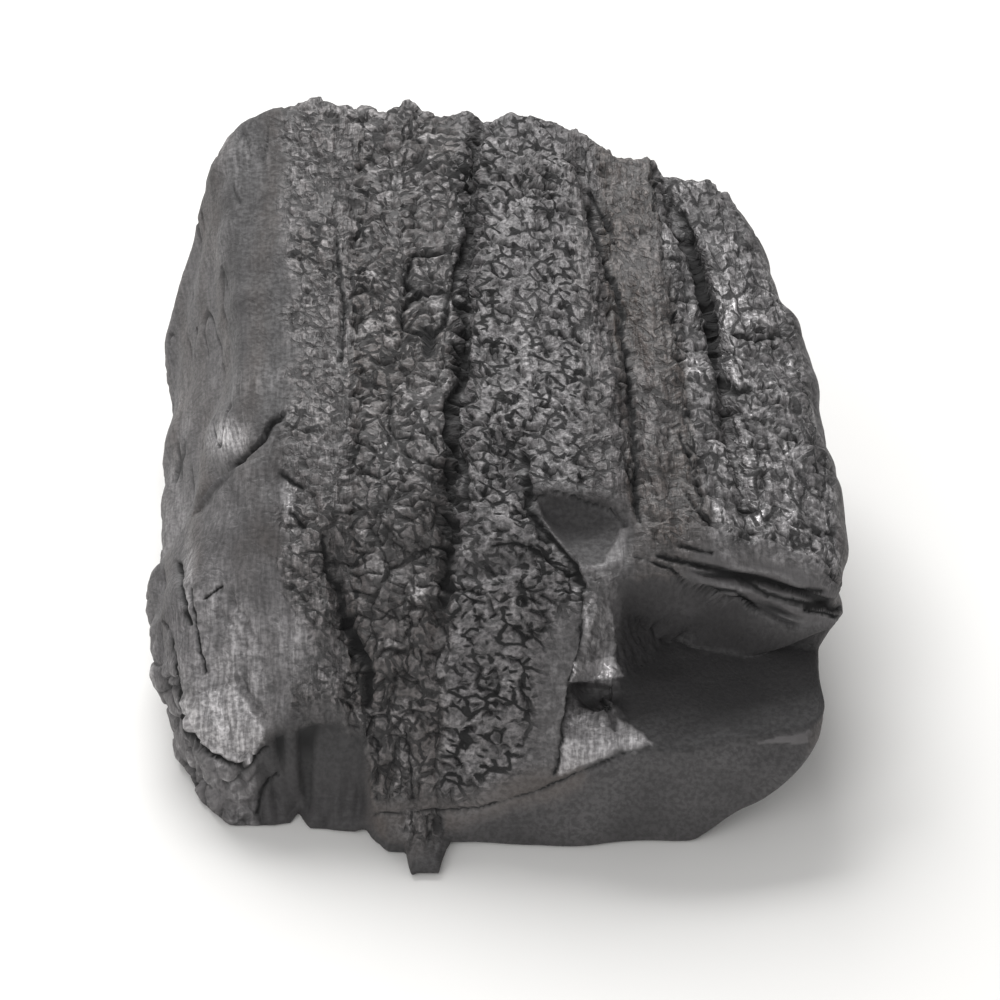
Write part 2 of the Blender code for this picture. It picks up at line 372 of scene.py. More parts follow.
@dataclass(frozen=True)
class LumpForm:
    """The lump's outer form: flat, scooped and curved faces cut from a block of wood, with its wide fissures.

    The skin is where distance() is 0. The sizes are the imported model's own.
    """

    height: float = 67.0
    shelf_height: float = 25.0
    left_side: float = -66.0
    right_side: float = 64.5
    back: float = 135.0
    back_step: float = 5.0
    wrinkle: float = 1.1
    seed: int = 11
    valley: Fissure = Fissure(
        ((-16, 0), (-13.5, 5), (-11, 12), (-9.5, 22), (-8.5, 33), (-7.7, 56), (-5.9, 83), (-4, 132)), 1.7, 3.8
    )
    top_fissures: tuple[Fissure, ...] = fissures(
        (3.0, 1.8, (26, 20), (25.7, 33), (25.2, 50), (23.4, 74), (19.8, 100), (18, 126)),
        (3.0, 1.2, (-26, 6), (-26, 30), (-24, 60), (-25, 90), (-22, 140)),
        (1.5, 2.8, (46, 30), (42.8, 53), (41.4, 68), (39.2, 88), (33.7, 108), (31, 126)),
        (1.8, 2.6, (-30, 30), (-28, 22), (-24.3, 13), (-23.4, 7)),
        (1.8, 2.6, (16.2, 126), (18.5, 103), (20, 96)),
        (1.7, 2.5, (-8, 24.5), (-3, 23), (5, 23.3)),
        (1.8, 2.4, (3, 46), (4, 38), (8.5, 27), (13.5, 20)),
    )
    right_splits: tuple[Fissure, ...] = fissures(
        (1.6, 2.6, (20, 40), (40, 38), (66, 41), (90, 38), (116, 40)),
        (1.3, 2.2, (44, 20), (62, 22), (82, 19)),
    )
    left_splits: tuple[Fissure, ...] = fissures(
        (1.5, 2.2, (62, 13), (84, 15), (104, 13), (126, 16)),
        (1.2, 1.8, (22, 21), (34, 26), (46, 25)),
    )

    def top_height(self, x: Array, y: Array) -> Array:
        """Height of the charred top: it rises from the foot as 1 - exp(-y / 17), crowned as x squared."""
        foot = 7.5 + 5.0 * rise(x, -6.0, 8.0) + 13.0 * rise(x, 6.0, 30.0)
        full = self.height - foot
        lift = 0.87 * full * (1.0 - np.exp(-np.maximum(y, -0.8) / 17.0)) + 0.13 * full * y / self.back
        height = foot + lift - 0.0030 * (x - 5.0) ** 2
        height += 1.5 * rise(x, -8.0, -2.0) * fall(x, 15.0, 24.0)
        height += 0.8 * ripples(rows(x, 0.12 * y), 11.0, self.seed + 20)
        closing = 0.25 + 0.75 * rise(y, 5.0, 26.0)
        return height - np.maximum(self.valley.opened(x, y) * closing, deepest(x, y, self.top_fissures))

    def left_face(self, x: Array, y: Array, z: Array) -> Array:
        """The smooth split down the left: a slope that a long scoop hollows out behind a step."""
        lean = 24.0 - 0.090 * y
        behind = y - 50.0 + 0.10 * (z - 40.0)
        scoop = 2.8 * rise(behind, -0.8, 1.2) * np.exp(-np.maximum(behind, 0.0) / 26.0)
        hollowed = 2.2 * hump(z, 42.0, 15.0) * hump(y, 88.0, 34.0)
        flutes = 0.35 * np.sin(0.9 * (y + 0.8 * z)) * hump(y, 22.0, 14.0)
        face = 0.86 * (self.left_side + (z - 20.0) / 38.0 * lean - x)
        return face + scoop + hollowed + flutes + deepest(y, z, self.left_splits)

    def front_face(self, x: Array, y: Array, z: Array) -> Array:
        """The near end: flat at the right, hollowed at the left, with a spur and low toes at its foot."""
        set_back = 7.0 * fall(x, -26.5, -22.5) + 1.2 * hump(x, -33.0, 6.0)
        spur = 7.6 * band(x, -16.0, -10.6, 1.8) + 2.4 * band(x, -20.5, -17.8, 2.5)
        toes = 4.5 * band(x, -34.0, -26.5, 2.5) + 3.0 * band(x, -52.0, -38.0, 2.5)
        end = set_back - spur * fall(z, 1.5, 10.0)
        return end - toes * fall(z, 0.8, 5.5) - y

    def back_face(self, x: Array, y: Array, z: Array) -> Array:
        """The broken far end: its upper layer stands out from the lower, and both are ragged."""
        stands_out = self.back_step * rise(z, 29.0, 33.0) * rise(x, -58.0, -30.0)
        ragged = ripples(rows(x, 0.3 * z), 9.0, self.seed + 30) * rise(y, 90.0, 110.0)
        return 0.95 * (y - self.back + self.back_step - stands_out + 1.3 * ragged) + 0.31 * x

    def torn_edge(self, x: Array) -> Array:
        """Height of the lower edge of the upper layer's torn end, which falls to the right."""
        return 36.5 + 11.5 * fall(x, 31.0, 56.0)

    def ledge_face(self, x: Array, y: Array, z: Array) -> Array:
        """The upper layer's end: torn and sloping above, leaning in under its edge, then a pocket.

        The pocket's upper edge is curved as x squared.
        """
        above = z - self.torn_edge(x)
        edge = 20.7 + 0.02 * (x - 40.0) - 1.3 * hump(x, 63.0, 9.0)
        sloping = (1.15 - 0.60 * rise(x, 32.0, 45.0)) * np.maximum(above, 0.0)
        leaning = 0.29 * np.maximum(-above, 0.0)
        pocket = 3.5 * rise(24.6 + 0.030 * (x - 42.0) ** 2 - z, -1.0, 2.5)
        return 0.88 * (edge + sloping + leaning + pocket - y)

    def ramp_face(self, x: Array, y: Array, z: Array) -> Array:
        """The slope at the wall's foot: it climbs away from the eye to a nick and drops at its right."""
        top = 16.2 + 0.58 * (x - 12.6) + np.maximum(y, 0.0)
        return 0.7 * (z - top + 8.0 * rise(y, 8.0, 12.0) + 2.2 * np.maximum(x - 20.5, 0.0))

    def faces(self, points: Array) -> dict[Face, Array]:
        """How far each place lies outside each face, in millimetres, before the faces are joined.

        The places are first moved by slow ripples, so no face is truly flat.
        """
        wander = rows(*(ripples(points, 34.0, self.seed + axis) for axis in range(3)))
        small = rows(*(ripples(points, 11.0, self.seed + 5 + axis) for axis in range(3)))
        moved = points + self.wrinkle * wander + 0.35 * self.wrinkle * small
        x, y, z = moved.T
        far = np.maximum(y - 24.0, 0.0)
        side = self.right_side + 1.0 - 0.04 * far - 0.0017 * far * far
        right = x - side + deepest(y, z, self.right_splits)
        right = smooth_max(right, plane(moved, (self.right_side - 4.3, 3, 27), (0.95, 0.0, -0.31)), 4.0)
        foot = plane(moved, (self.left_side, 60, 18), (-0.96, 0, -0.26))
        for through, normal in (
            ((0, self.back - 2.0, 20), (0.28, 0.80, -0.53)),
            ((-52, 8, 0), (-0.86, -0.51, -0.05)),
            ((-52, 142, 20), (-0.72, 0.69, 0.0)),
        ):
            foot = smooth_max(foot, plane(moved, through, normal), 4.0)
        fluted = plane(moved, (-46, 4, 15), (-0.45, -0.68, 0.58)) - 0.4 * np.sin(0.75 * (x + 0.5 * y))
        behind = smooth_max(y - 10.0, np.zeros(len(x)), 4.0)
        under = plane(moved, (0, 98, 0), (0.05, 0.22, -0.97))
        under = smooth_max(under, plane(moved, (-28, 74, 0), (-0.20, 0.10, -0.97)), 2.0)
        chip = smooth_max(49.0 + 0.15 * (y - 21.0) - z, 0.9 * (y - 33.5 + 0.25 * (x - 15.0)), 5.0)
        chip = smooth_max(chip, 0.83 * (6.0 + 0.62 * (33.0 - y) - x), 4.0)
        scoop = np.maximum(
            16.0 - np.linalg.norm(moved - np.array([-77.0, 108.0, 8.0]), axis=1),
            30.0 - np.linalg.norm(moved - np.array([88.0, 92.0, 14.0]), axis=1),
        )
        return {
            Face.TOP: 0.80 * (z - self.top_height(x, y)),
            Face.LEFT: self.left_face(x, y, z),
            Face.RIGHT: right,
            Face.BACK: self.back_face(x, y, z),
            Face.FLUTED: fluted,
            Face.FOOT: foot,
            Face.CORNER: plane(moved, (34.8, 0, 0), (0.62, -0.30, -0.72)),
            Face.FRONT: self.front_face(x, y, z),
            Face.LEDGE: self.ledge_face(x, y, z),
            Face.SHELF: z - self.shelf_height - 0.05 * (x - 40.0),
            Face.WALL: 0.80 * (x - 14.5 + 0.12 * (44.0 - z) - 0.80 * behind),
            Face.RAMP: self.ramp_face(x, y, z),
            Face.CHIP: -smooth_max(chip, 0.9 * (x - 27.0), 4.0),
            Face.SCOOP: scoop,
            Face.UNDER: under,
        }

    def distance(self, points: Array) -> Array:
        """About how far each place lies outside the lump: the largest face distance, with rounded edges.

        The step at the right is a union: a place beside it is inside if it lies behind the ledge, below
        the shelf or the ramp, or left of the wall, so there the least of those distances counts.
        """
        face = self.faces(points)
        skin = smooth_max(face[Face.TOP], face[Face.LEFT], 2.5)
        for name, round_over in (
            (Face.RIGHT, 7.0),
            (Face.BACK, 6.0),
            (Face.FLUTED, 6.0),
            (Face.FOOT, 4.0),
            (Face.CORNER, 4.0),
            (Face.UNDER, 2.0),
            (Face.FRONT, 1.2),
        ):
            skin = smooth_max(skin, face[name], round_over)
        step = smooth_max(-face[Face.SHELF], -face[Face.WALL], 2.5)
        step = smooth_max(step, -face[Face.RAMP], 1.5)
        skin = smooth_max(skin, -smooth_max(-face[Face.LEDGE], step, 1.6), 1.0)
        skin = smooth_max(skin, face[Face.CHIP], 0.8)
        skin = smooth_max(skin, face[Face.SCOOP], 0.8)
        return smooth_max(skin, -points[:, 2], 1.5)

    def shares(self, points: Array) -> dict[Face, Array]:
        """How much each place on the skin belongs to each face, from 0 to 1.

        The outer face that a place lies farthest outside of holds it, and faces almost as far share it. The
        step's faces hold only places that lie on or outside all of them, and there the outer faces give way.
        """
        face = self.faces(points)
        step = (Face.LEDGE, Face.SHELF, Face.WALL, Face.RAMP)
        outer = [name for name in face if name not in step]
        outermost = np.max([face[name] for name in outer], axis=0)
        share = {name: rise(face[name] - outermost, -2.0, -0.1) for name in outer}
        beside = rise(np.min([face[name] for name in step], axis=0), -1.3, -0.3)
        for name in step:
            share[name] = beside * fall(face[name], 0.3, 1.6)
        in_step = np.max([share[name] for name in step], axis=0) * rise(-outermost, 0.3, 1.5)
        for name in outer:
            share[name] *= 1.0 - in_step
        torn = rise(points[:, 2] - self.torn_edge(points[:, 0]), -1.0, 0.6)
        share[Face.LEAN] = share[Face.LEDGE] * (1.0 - torn)
        share[Face.LEDGE] *= torn
        return share


@dataclass(frozen=True)
class Lattice:
    """A closed box of six grids, one on each side, each a function of two parameters from -1 to 1.

    Attributes:
        across: steps along x.
        along: steps along y.
        up: steps along z.
    """

    across: int = 300
    along: int = 350
    up: int = 120

    def build(self) -> tuple[Array, Array]:
        """Number the box's surface points once each, and join them in faces that look outwards.

        Returns:
            The points, as shares from -1 to 1 of the box's half sizes, and the faces, as rows of four.
        """
        steps = (self.across, self.along, self.up)
        corners, sides = [], []
        count = 0
        for axis in range(3):
            first, second = (axis + 1) % 3, (axis + 2) % 3
            a, b = np.meshgrid(np.arange(steps[first] + 1), np.arange(steps[second] + 1), indexing="ij")
            for end in (0, steps[axis]):
                cell = np.empty((a.size, 3), dtype=np.int64)
                cell[:, axis], cell[:, first], cell[:, second] = end, a.ravel(), b.ravel()
                corners.append(cell)
                grid = np.arange(a.size).reshape(a.shape) + count
                count += a.size
                quads = faces_between(grid)
                sides.append(quads if end else quads[:, ::-1])
        cells = np.concatenate(corners)
        key = (cells[:, 0] * (steps[1] + 1) + cells[:, 1]) * (steps[2] + 1) + cells[:, 2]
        _, kept, number = np.unique(key, return_index=True, return_inverse=True)
        shares = cells[kept] / np.array(steps) * 2.0 - 1.0
        return shares, number.ravel()[np.concatenate(sides)]


@dataclass(frozen=True)
class SkinFinder:
    """Slides the points of a box in towards a flat slab inside the wood, to where they meet the skin."""

    box_centre: tuple[float, float, float] = (0.0, 66.0, 36.0)
    box_half: tuple[float, float, float] = (78.0, 90.0, 50.0)
    slab_centre: tuple[float, float, float] = (0.0, 66.0, 12.0)
    slab_half: tuple[float, float, float] = (38.0, 36.0, 3.0)
    halvings: int = 11

    def skin(self, form: LumpForm, shares: Array) -> Array:
        """Where the straight way from the slab (0) to the box (1) leaves the lump.

        The stretch that holds the skin is halved, and the last one is cut where a straight line between
        the distances at its two ends crosses 0.

        Args:
            form: the lump.
            shares: points of the box, from -1 to 1.

        Returns:
            One skin point for each, in millimetres.
        """
        outer = np.array(self.box_centre) + shares * np.array(self.box_half)
        inner = np.array(self.slab_centre) + shares * np.array(self.slab_half)
        way = outer - inner
        low, high = np.zeros(len(shares)), np.ones(len(shares))
        for _ in range(self.halvings):
            middle = (low + high) / 2.0
            inside = form.distance(inner + way * middle[:, None]) < 0.0
            low, high = np.where(inside, middle, low), np.where(inside, high, middle)
        near = form.distance(inner + way * low[:, None])
        far = form.distance(inner + way * high[:, None])
        cut = unit(near / np.where(near - far == 0.0, -1.0, near - far))
        return inner + way * (low + (high - low) * cut)[:, None]


# Sine and cosine of the eye's 41 degrees above level.
SINE, COSINE = 0.656, 0.755


@dataclass(frozen=True)
class Seen:
    """Cracks, folds, painted glints and painted shade, drawn on the lump as the eye sees it from the front.

    A place is given as x across and SINE y + COSINE z up the view, both in millimetres.

    Attributes:
        cracks: open cracks, cut in and painted dark as shade.
        folds: shallow steps and folds, cut in and painted a little dark as shade.
        glints: middle, half sizes and strength of painted glints: lustre and a pale highlight colour.
        shade_spots: middle and half sizes of spots painted darker as shade, with their lustre taken away.
        facets: flat chips, each a ring of corners and how silvery it is, painted pale as a highlight, or
            below 0 how dark it is painted as shade.
    """

    cracks: tuple[Fissure, ...] = fissures(
        (0.5, 1.7, (-39.6, 79.7), (-42, 77.6), (-43.6, 74.9), (-49, 70.2)),
        (0.45, 1.2, (-39.8, 68.6), (-36.7, 66.4)),
        (0.45, 1.1, (-37.8, 61.4), (-36, 58.8)),
        (0.3, 0.9, (-53.8, 45.7), (-50.7, 47.9)),
        (0.45, 1.3, (-59.4, 52), (-58.3, 46.4), (-57.1, 41)),
        (0.35, 0.9, (-56.7, 47.3), (-55.6, 39.6), (-53.8, 32)),
        (0.35, 0.9, (-60.3, 38), (-59.2, 31), (-58.6, 24)),
        (0.45, 1.2, (-31.9, 57.4), (-31, 50.7), (-29.4, 47.7), (-28, 41.8)),
        (0.65, 1.9, (-28, 41.8), (-26.2, 37.4), (-24, 34.2), (-23.6, 27)),
        (0.3, 0.8, (-35, 54.4), (-31.4, 54.2)),
        (0.3, 0.8, (-31.2, 52.4), (-27.2, 51.9)),
        (0.4, 1.1, (-19.8, 83.2), (-20.2, 78), (-18.9, 75.2), (-15.7, 75.3)),
        (0.45, 1.2, (-16.8, 72), (-14, 70.9), (-10.8, 69.8)),
        (0.35, 1.0, (-15.2, 77), (-12.4, 75.3), (-10.9, 72.6)),
        (0.35, 1.0, (-15.6, 54.2), (-12, 55.4), (-9, 54.6)),
        (0.6, 1.5, (-5.4, 114.8), (-8.6, 102.6), (-5.9, 95.9), (-6.3, 86.9), (-9, 81), (-9, 74.7),
         (-6.3, 70.2), (-6.3, 62.1)),
        (0.3, 0.9, (-25.2, 69), (-22, 68), (-20, 69.4)),
        (0.55, 1.6, (4.1, 72), (6, 62.1), (9.6, 56.7), (13.4, 52.2), (15.2, 48.2)),
        (0.4, 1.1, (-0.9, 55.4), (2.7, 56), (5.9, 54.9), (9.4, 52.7), (13, 50)),
        (0.4, 1.0, (14.2, 51), (15.1, 45), (14.7, 35.3), (12.8, 30.7), (13, 28.4), (11.7, 20.7),
         (10.3, 13.7)),
        (0.3, 0.7, (-22.9, 6), (-3.6, 7.3), (7.2, 10.4), (12.6, 13.1), (23.4, 18)),
        (0.7, 1.9, (34.8, 118.6), (37.5, 107.9), (39.6, 98.2), (40.7, 88.5)),
        (0.5, 1.4, (17, 122.9), (20.4, 117.5), (21.9, 112.3)),
        (0.5, 1.4, (17, 119), (22.4, 102.5), (24, 89.6), (25.1, 74.5), (25.4, 60)),
        (0.7, 1.7, (41.2, 86), (43.5, 83.8), (46.5, 84.6)),
        (0.45, 1.2, (44, 95), (48, 93.6), (51.5, 94.2)),
        (0.4, 1.1, (33, 75.8), (35, 72), (36.2, 66.6)),
        (0.35, 1.0, (34, 65), (36.2, 61.8), (38.6, 60)),
        (0.35, 0.9, (-23, 24), (-22, 16), (-22.3, 9)),
        (0.4, 1.0, (-40.7, 13.3), (-43.2, 10.5), (-44.5, 5.9)),
        (0.3, 0.8, (6.2, 63.9), (11, 65.2), (15.6, 63.1), (20.2, 62), (23.4, 58.8)),
        (0.45, 1.1, (-58.8, 24.4), (-57.4, 20.6), (-53.2, 16.8), (-46.2, 14), (-42.4, 18.4)),
        (0.35, 0.9, (-17, 22), (-16, 14), (-15.6, 8.6)),
        (0.45, 1.2, (-30.6, 113), (-29, 100), (-29.6, 90)),
        (0.5, 1.5, (-9, 111), (-16, 110), (-17.6, 105), (-14.6, 102.6), (-8.6, 103.6)),
        (0.55, 1.7, (-14.6, 102.6), (-18.4, 99.6), (-17.4, 96), (-13, 94.6), (-10.2, 97), (-9.4, 103)),
        (1.1, 2.4, (-13.9, 96), (-12.4, 93.4), (-13.3, 91.6)),
        (0.55, 1.4, (28.9, 53.6), (34.9, 52.2), (43.2, 50.1), (48.7, 48.5), (54.2, 47.1), (58.8, 46.9)),
        (0.55, 1.5, (43.2, 50), (49.5, 46.2), (56.5, 44.4), (63.4, 43.9)),
        (0.4, 1.1, (56, 43.5), (63.4, 42.1)),
        (0.4, 0.9, (24.8, 53.6), (31.2, 51.3), (34, 48.2)),
        (0.45, 1.1, (33.1, 55.4), (38.6, 54)),
        (0.45, 1.0, (34.9, 48.1), (43.2, 47.1), (47.3, 43.5)),
    )
    folds: tuple[Fissure, ...] = fissures(
        (1.1, 1.0, (-49, 70.2), (-53.1, 65.7), (-55.8, 62)),
        (0.55, 0.6, (-49.5, 45.6), (-46.8, 42.8), (-45.2, 39)),
        (0.55, 0.5, (-51, 43), (-48.3, 40.2), (-46.4, 37)),
        (0.5, 0.7, (-47.7, 31.2), (-45.5, 27.8), (-42.6, 24.4)),
        (0.9, 0.5, (-43, 28), (-38, 31.4), (-32, 30)),
    )
    glints: tuple[tuple[float, float, float, float, float], ...] = (
        (-50.2, 75.4, 3.4, 2.4, 1.0),
        (-38.2, 64.0, 1.0, 4.6, 0.8),
        (-50.0, 34.0, 7.0, 9.0, 0.45),
        (-57.0, 47.0, 1.2, 8.0, 0.5),
        (-15.0, 47.0, 1.6, 1.4, 1.0),
        (-6.5, 55.0, 1.8, 1.6, 0.7),
        (47.0, 61.0, 2.2, 2.6, 1.0),
        (45.0, 66.5, 1.6, 5.0, 0.7),
        (41.0, 69.0, 1.4, 4.0, 0.6),
        (53.5, 60.0, 1.6, 4.0, 0.7),
        (43.5, 101.0, 3.4, 6.0, 0.8),
    )
    facets: tuple[tuple[Path, float], ...] = (
        (((15.3, 44.6), (16.7, 45.5), (20.7, 44.1), (21.6, 37.4), (20.7, 35.1), (15.3, 34.2)), 0.5),
        (((14, 34.2), (21.2, 35.1), (23, 31.5), (17.1, 30.4), (13.3, 30.6)), 1.4),
        (((13.3, 30.2), (18, 29.9), (21.6, 29.3), (21.9, 27.4), (20.3, 25.2), (16.2, 25.9), (14, 27.9)), -1),
        (
            ((13.1, 28.3), (16.2, 25.6), (21.2, 24.8), (22.1, 18.5), (18.5, 16.7), (9.9, 13.1), (11.7, 19.4)),
            0.55,
        ),
        (((21.6, 23.9), (24.3, 22.5), (27.9, 19.4), (23.4, 18), (21.2, 18.9)), 0.6),
        (((-58.5, 26.6), (-48.9, 30.4), (-42.6, 21.6), (-45.8, 14.9), (-53.4, 17.7), (-57.8, 21.6)), 0.65),
        (((-42.8, 22.2), (-34.4, 22.4), (-24.3, 24), (-24.4, 19.4), (-33, 18.6), (-41.6, 18.4)), -0.4),
        (
            ((6.8, 63.4), (11, 64.6), (15.6, 62.8), (20.2, 61.4), (22.3, 58.8), (16.6, 56.6), (13.2, 54.4)),
            -0.12,
        ),
        (((14.9, 51.3), (21.6, 52.8), (21.9, 51.6), (15.3, 50.2)), 0.08),
        (((18.9, 52.2), (22.3, 58.3), (24, 58.7), (22.6, 51.6)), 0.04),
    )
    shade_spots: tuple[tuple[float, float, float, float], ...] = (
        (-43.8, 47.0, 4.6, 2.6),
        (-46.0, 53.5, 5.0, 5.0),
        (-12.0, 62.0, 6.0, 7.0),
    )


@dataclass(frozen=True)
class BurntRelief:
    """What fire and breaking left in each face: heights out of the skin, in millimetres, and masks.

    Each face's method takes the places there and gives height and masks. A mask that it doesn't give is 0.
    The mask of cracks and gaps paints shade in them, and the lustre mask also paints pale highlights.

    Attributes:
        pits: the short diagonal cracks all over the top.
        grain_cracks: hair cracks along the grain.
        block_cracks: the crooked cracks between the blocks of the brown strip.
        cross_cracks: cracks across the strip at the far right.
        crumb: width of the crumbs between the cracks.
        fibre: spacing of the fibres in the split faces.
        seen: what is drawn as the eye sees it.
        seed: which random draw to start from.
    """

    pits: Dashes = Dashes((2.7, 2.9), (1.5, 3.4), 0.42, -45.0, 50.0, 0.85, 81)
    grain_cracks: Dashes = Dashes((2.2, 5.5), (2.4, 6.4), 0.32, 90.0, 9.0, 0.75, 82)
    block_cracks: Dashes = Dashes((4.0, 4.4), (2.4, 6.4), 0.30, 0.0, 90.0, 0.7, 83)
    cross_cracks: Dashes = Dashes((6.4, 5.6), (1.6, 5.0), 0.32, 2.0, 20.0, 0.40, 84)
    crumb: float = 1.55
    fibre: float = 1.5
    seen: Seen = field(default_factory=Seen)
    seed: int = 70

    def noise(self, points: Array, length: float, draw: int) -> Array:
        """Noise of this relief's own, with the draw counted from its seed."""
        return noise(points, length, self.seed + draw)

    def strips(self, points: Array) -> Array:
        """The top's own coordinates: across the grain, whose lines close up at the far right, and along it.

        Along the steep front the way along the surface is longer, so half the height is added.
        """
        x, y, z = points.T
        narrowing = 1.0 + 0.0031 * np.clip(y - 24.0, 0.0, 120.0) * rise(x, -5.0, 10.0)
        drift = 0.10 * np.clip(24.0 - y, 0.0, 30.0) * hump(x, -12.0, 12.0)
        return rows(x * narrowing + drift, y + 0.5 * z)

    def top(self, points: Array) -> Finding:
        """The checked top, strip by strip.

        Its height is the sum of crumbs (cells that swell towards their middles, each raised at random),
        larger blocks, fibres (noise, long along the grain) and slow dips, less the four kinds of crack.
        """
        flat = self.strips(points)
        across, along = flat.T
        bend = rows(self.noise(flat, 3.1, 1), self.noise(flat, 3.7, 2))
        bent = flat + 0.6 * bend
        slow = self.noise(flat, 14.0, 3)
        border = across + 0.9 * self.noise(flat, 6.0, 15)
        crumbly = band(border, -7.5, 17.0, 1.5)
        woven = band(border, -44.0, -27.0, 2.0)
        blocky = band(border, -26.0, -9.0, 2.0)
        fine = band(border, 17.5, 25.0, 1.5)
        brown = band(border, 25.5, 38.0, 2.0)
        edge = band(border, 38.5, 90.0, 2.0)
        margin = rise(across - 0.16 * (along - 20.0), 5.0, 9.0)
        margin *= fall(along, 30.0, 42.0)
        margin *= fall(across, 16.0, 20.0)
        calm = 1.0 - 0.75 * margin

        pits = self.pits.opened(bent) * rise(self.noise(flat, 5.0, 4) + 0.3 * slow, -0.5, 0.25)
        pits *= crumbly + 0.65 * blocky + 0.6 * woven + 0.6 * fine + 0.6 * brown + 0.7 * edge
        hairs = self.grain_cracks.opened(flat + 0.3 * bend)
        hairs *= 0.15 * crumbly + 0.35 * blocky + 0.8 * woven + 0.9 * fine + 0.85 * brown + 0.45 * edge
        blocks = self.block_cracks.opened(flat + 0.4 * bend)
        blocks *= blocky + 0.5 * woven + 0.2 * crumbly + 0.15 * brown
        crossing = self.cross_cracks.opened(bent)
        crossing *= 0.6 * woven + 0.5 * blocky + edge * rise(along, 62.0, 78.0)
        crumbs = Cells.around((flat + 0.5 * bend) / self.crumb, self.seed + 5)
        swell = 1.0 - 1.3 * np.minimum(crumbs.nearest, 0.9) ** 2
        large = Cells.around((flat + 0.8 * bend) / np.array([4.6, 5.6]), self.seed + 7)
        raised = (large.numbers[:, 1] - 0.5) * 0.7 + large.tilt() * 0.9
        joints = hump(large.to_edge, 0.0, 0.10) * rise(self.noise(flat, 5.5, 18), -0.35, 0.05)
        joints *= blocky + 0.35 * edge
        fibres = self.noise(rows(across + 0.4 * bend[:, 0], 0.12 * along), 1.3, 12)

        bumpy = 0.1 + 0.9 * crumbly + 0.05 * blocky + 0.5 * edge + 0.05 * woven
        height = bumpy * (0.22 * swell + 0.34 * (crumbs.numbers[:, 0] - 0.5))
        height += raised * (0.45 * blocky + 0.3 * edge + 0.2)
        fuzz = 0.09 * fractal(points, 1.5, self.seed + 13, 2)
        height += fibres * (0.12 + 0.2 * woven + 0.18 * fine + 0.2 * brown + 0.1 * edge) + fuzz
        height = height * calm + 0.45 * self.noise(rows(across, 0.35 * along), 5.0, 14) + 0.35 * slow
        height += 0.3 * self.noise(rows(across, 0.05 * along), 3.2, 16)
        height -= (1.05 * pits + 0.45 * hairs) * calm + 0.75 * np.maximum(blocks, joints) + 0.85 * crossing
        # Painted shade: the cracks and the hollows between the crumbs are darkened.
        painted_shade = np.maximum.reduce([pits * calm, 0.8 * hairs * calm, blocks, joints, crossing])
        painted_shade = unit(painted_shade + 0.35 * rise(-swell, -0.35, 0.1) * bumpy * calm)
        # Painted glints: random crumbs and plates are given lustre and a pale highlight colour.
        lit = 0.5 * self.noise(flat, 9.0, 17)
        lustre_and_glint = rise(crumbs.numbers[:, 2] + lit, 0.62, 0.98) * (0.06 + 0.08 * crumbly + 0.06 * edge)
        plates = rise(large.numbers[:, 0] + lit, 0.45, 1.0) * (0.38 * edge + 0.16 * blocky + 0.10)
        sheen = (lustre_and_glint + plates) * (1.0 - painted_shade) * (1.0 - 0.8 * brown)
        # Painted highlights: silvery streaks along the fibres of the right strip, towards the front.
        streaks = hump(across, 53.0, 6.0) * fall(along, 66.0, 84.0)
        streaks *= rise(fibres, -0.2, 0.5)
        return {
            "height": height,
            "painted_shade": painted_shade,
            "sheen": unit(np.maximum(sheen, 0.6 * streaks)),
            "brown": unit(0.9 * brown + 0.55 * blocky + 0.35 * woven + 0.25 * fine + 0.2 * slow),
            "smooth": 0.55 * margin,
            "checked": calm * unit(1.0 - 0.2 * (blocky + woven + fine) - 0.3 * (brown + edge) + 0.2 * slow),
            "fibrous": unit(0.25 + 0.6 * woven + 0.5 * fine + 0.35 * brown + 0.3 * edge),
            "blocky": unit(0.9 * blocky + 0.6 * woven + 0.9 * edge + 0.45 * crumbly + 0.4 * brown) * calm,
        }

    def split_face(self, points: Array) -> Finding:
        """A face that split along the grain: long fibres, slow waves and a few hair cracks."""
        x, y, z = points.T
        fibres = self.noise(rows(x + z, 0.9 * z - 0.4 * x, 0.13 * y), self.fibre, 20)
        waves = self.noise(rows(0.6 * x, 0.10 * y, 0.6 * z), 4.0, 21)
        hair = hump(self.noise(rows(0.8 * x, 0.16 * y, 0.8 * z), 5.5, 23), 0.0, 0.04)
        hair *= rise(self.noise(points, 12.0, 24), 0.15, 0.4)
        return {
            "height": 0.08 * fibres + 0.35 * waves + 0.75 * self.noise(points, 9.0, 26) - 0.7 * hair,
            # Painted shade in the hair cracks.
            "painted_shade": 0.9 * hair,
            "sheen": rise(self.noise(points, 16.0, 25) + 0.4 * fibres, 0.25, 0.9) * 0.15,
            "brown": 0.55 * rise(waves, -0.2, 0.6),
            # Clean-break colour, darker towards the top: painted shade high on the left split.
            "smooth": 0.45 + 0.5 * rise(z, 42.0, 58.0),
            "checked": 0.2,
            "fibrous": 0.5,
        }

    def fluted_face(self, points: Array) -> Finding:
        """The shiny torn slope at the near left: flutes that run down it, with small hollows between."""
        x, y, z = points.T
        flutes = self.noise(rows(x + 0.3 * y - 0.012 * (z - 18.0) ** 2, 0.10 * (y + z), 0.10 * z), 1.5, 30)
        lower = fall(z + 2.0 * self.noise(points, 6.0, 32), 12.0, 27.0)
        lobes = fractal(points, 5.0, self.seed + 31, 2)
        return {
            "height": 0.34 * flutes + 0.45 * lobes,
            # Painted shade between the flutes.
            "painted_shade": 0.5 * rise(-flutes, 0.45, 0.8),
            # Lustre and painted highlight, stronger towards the foot of the slope.
            "sheen": unit(0.2 + 0.75 * lower + 0.2 * lobes + 0.15 * flutes),
            "checked": 0.3,
            "fibrous": 0.45,
        }

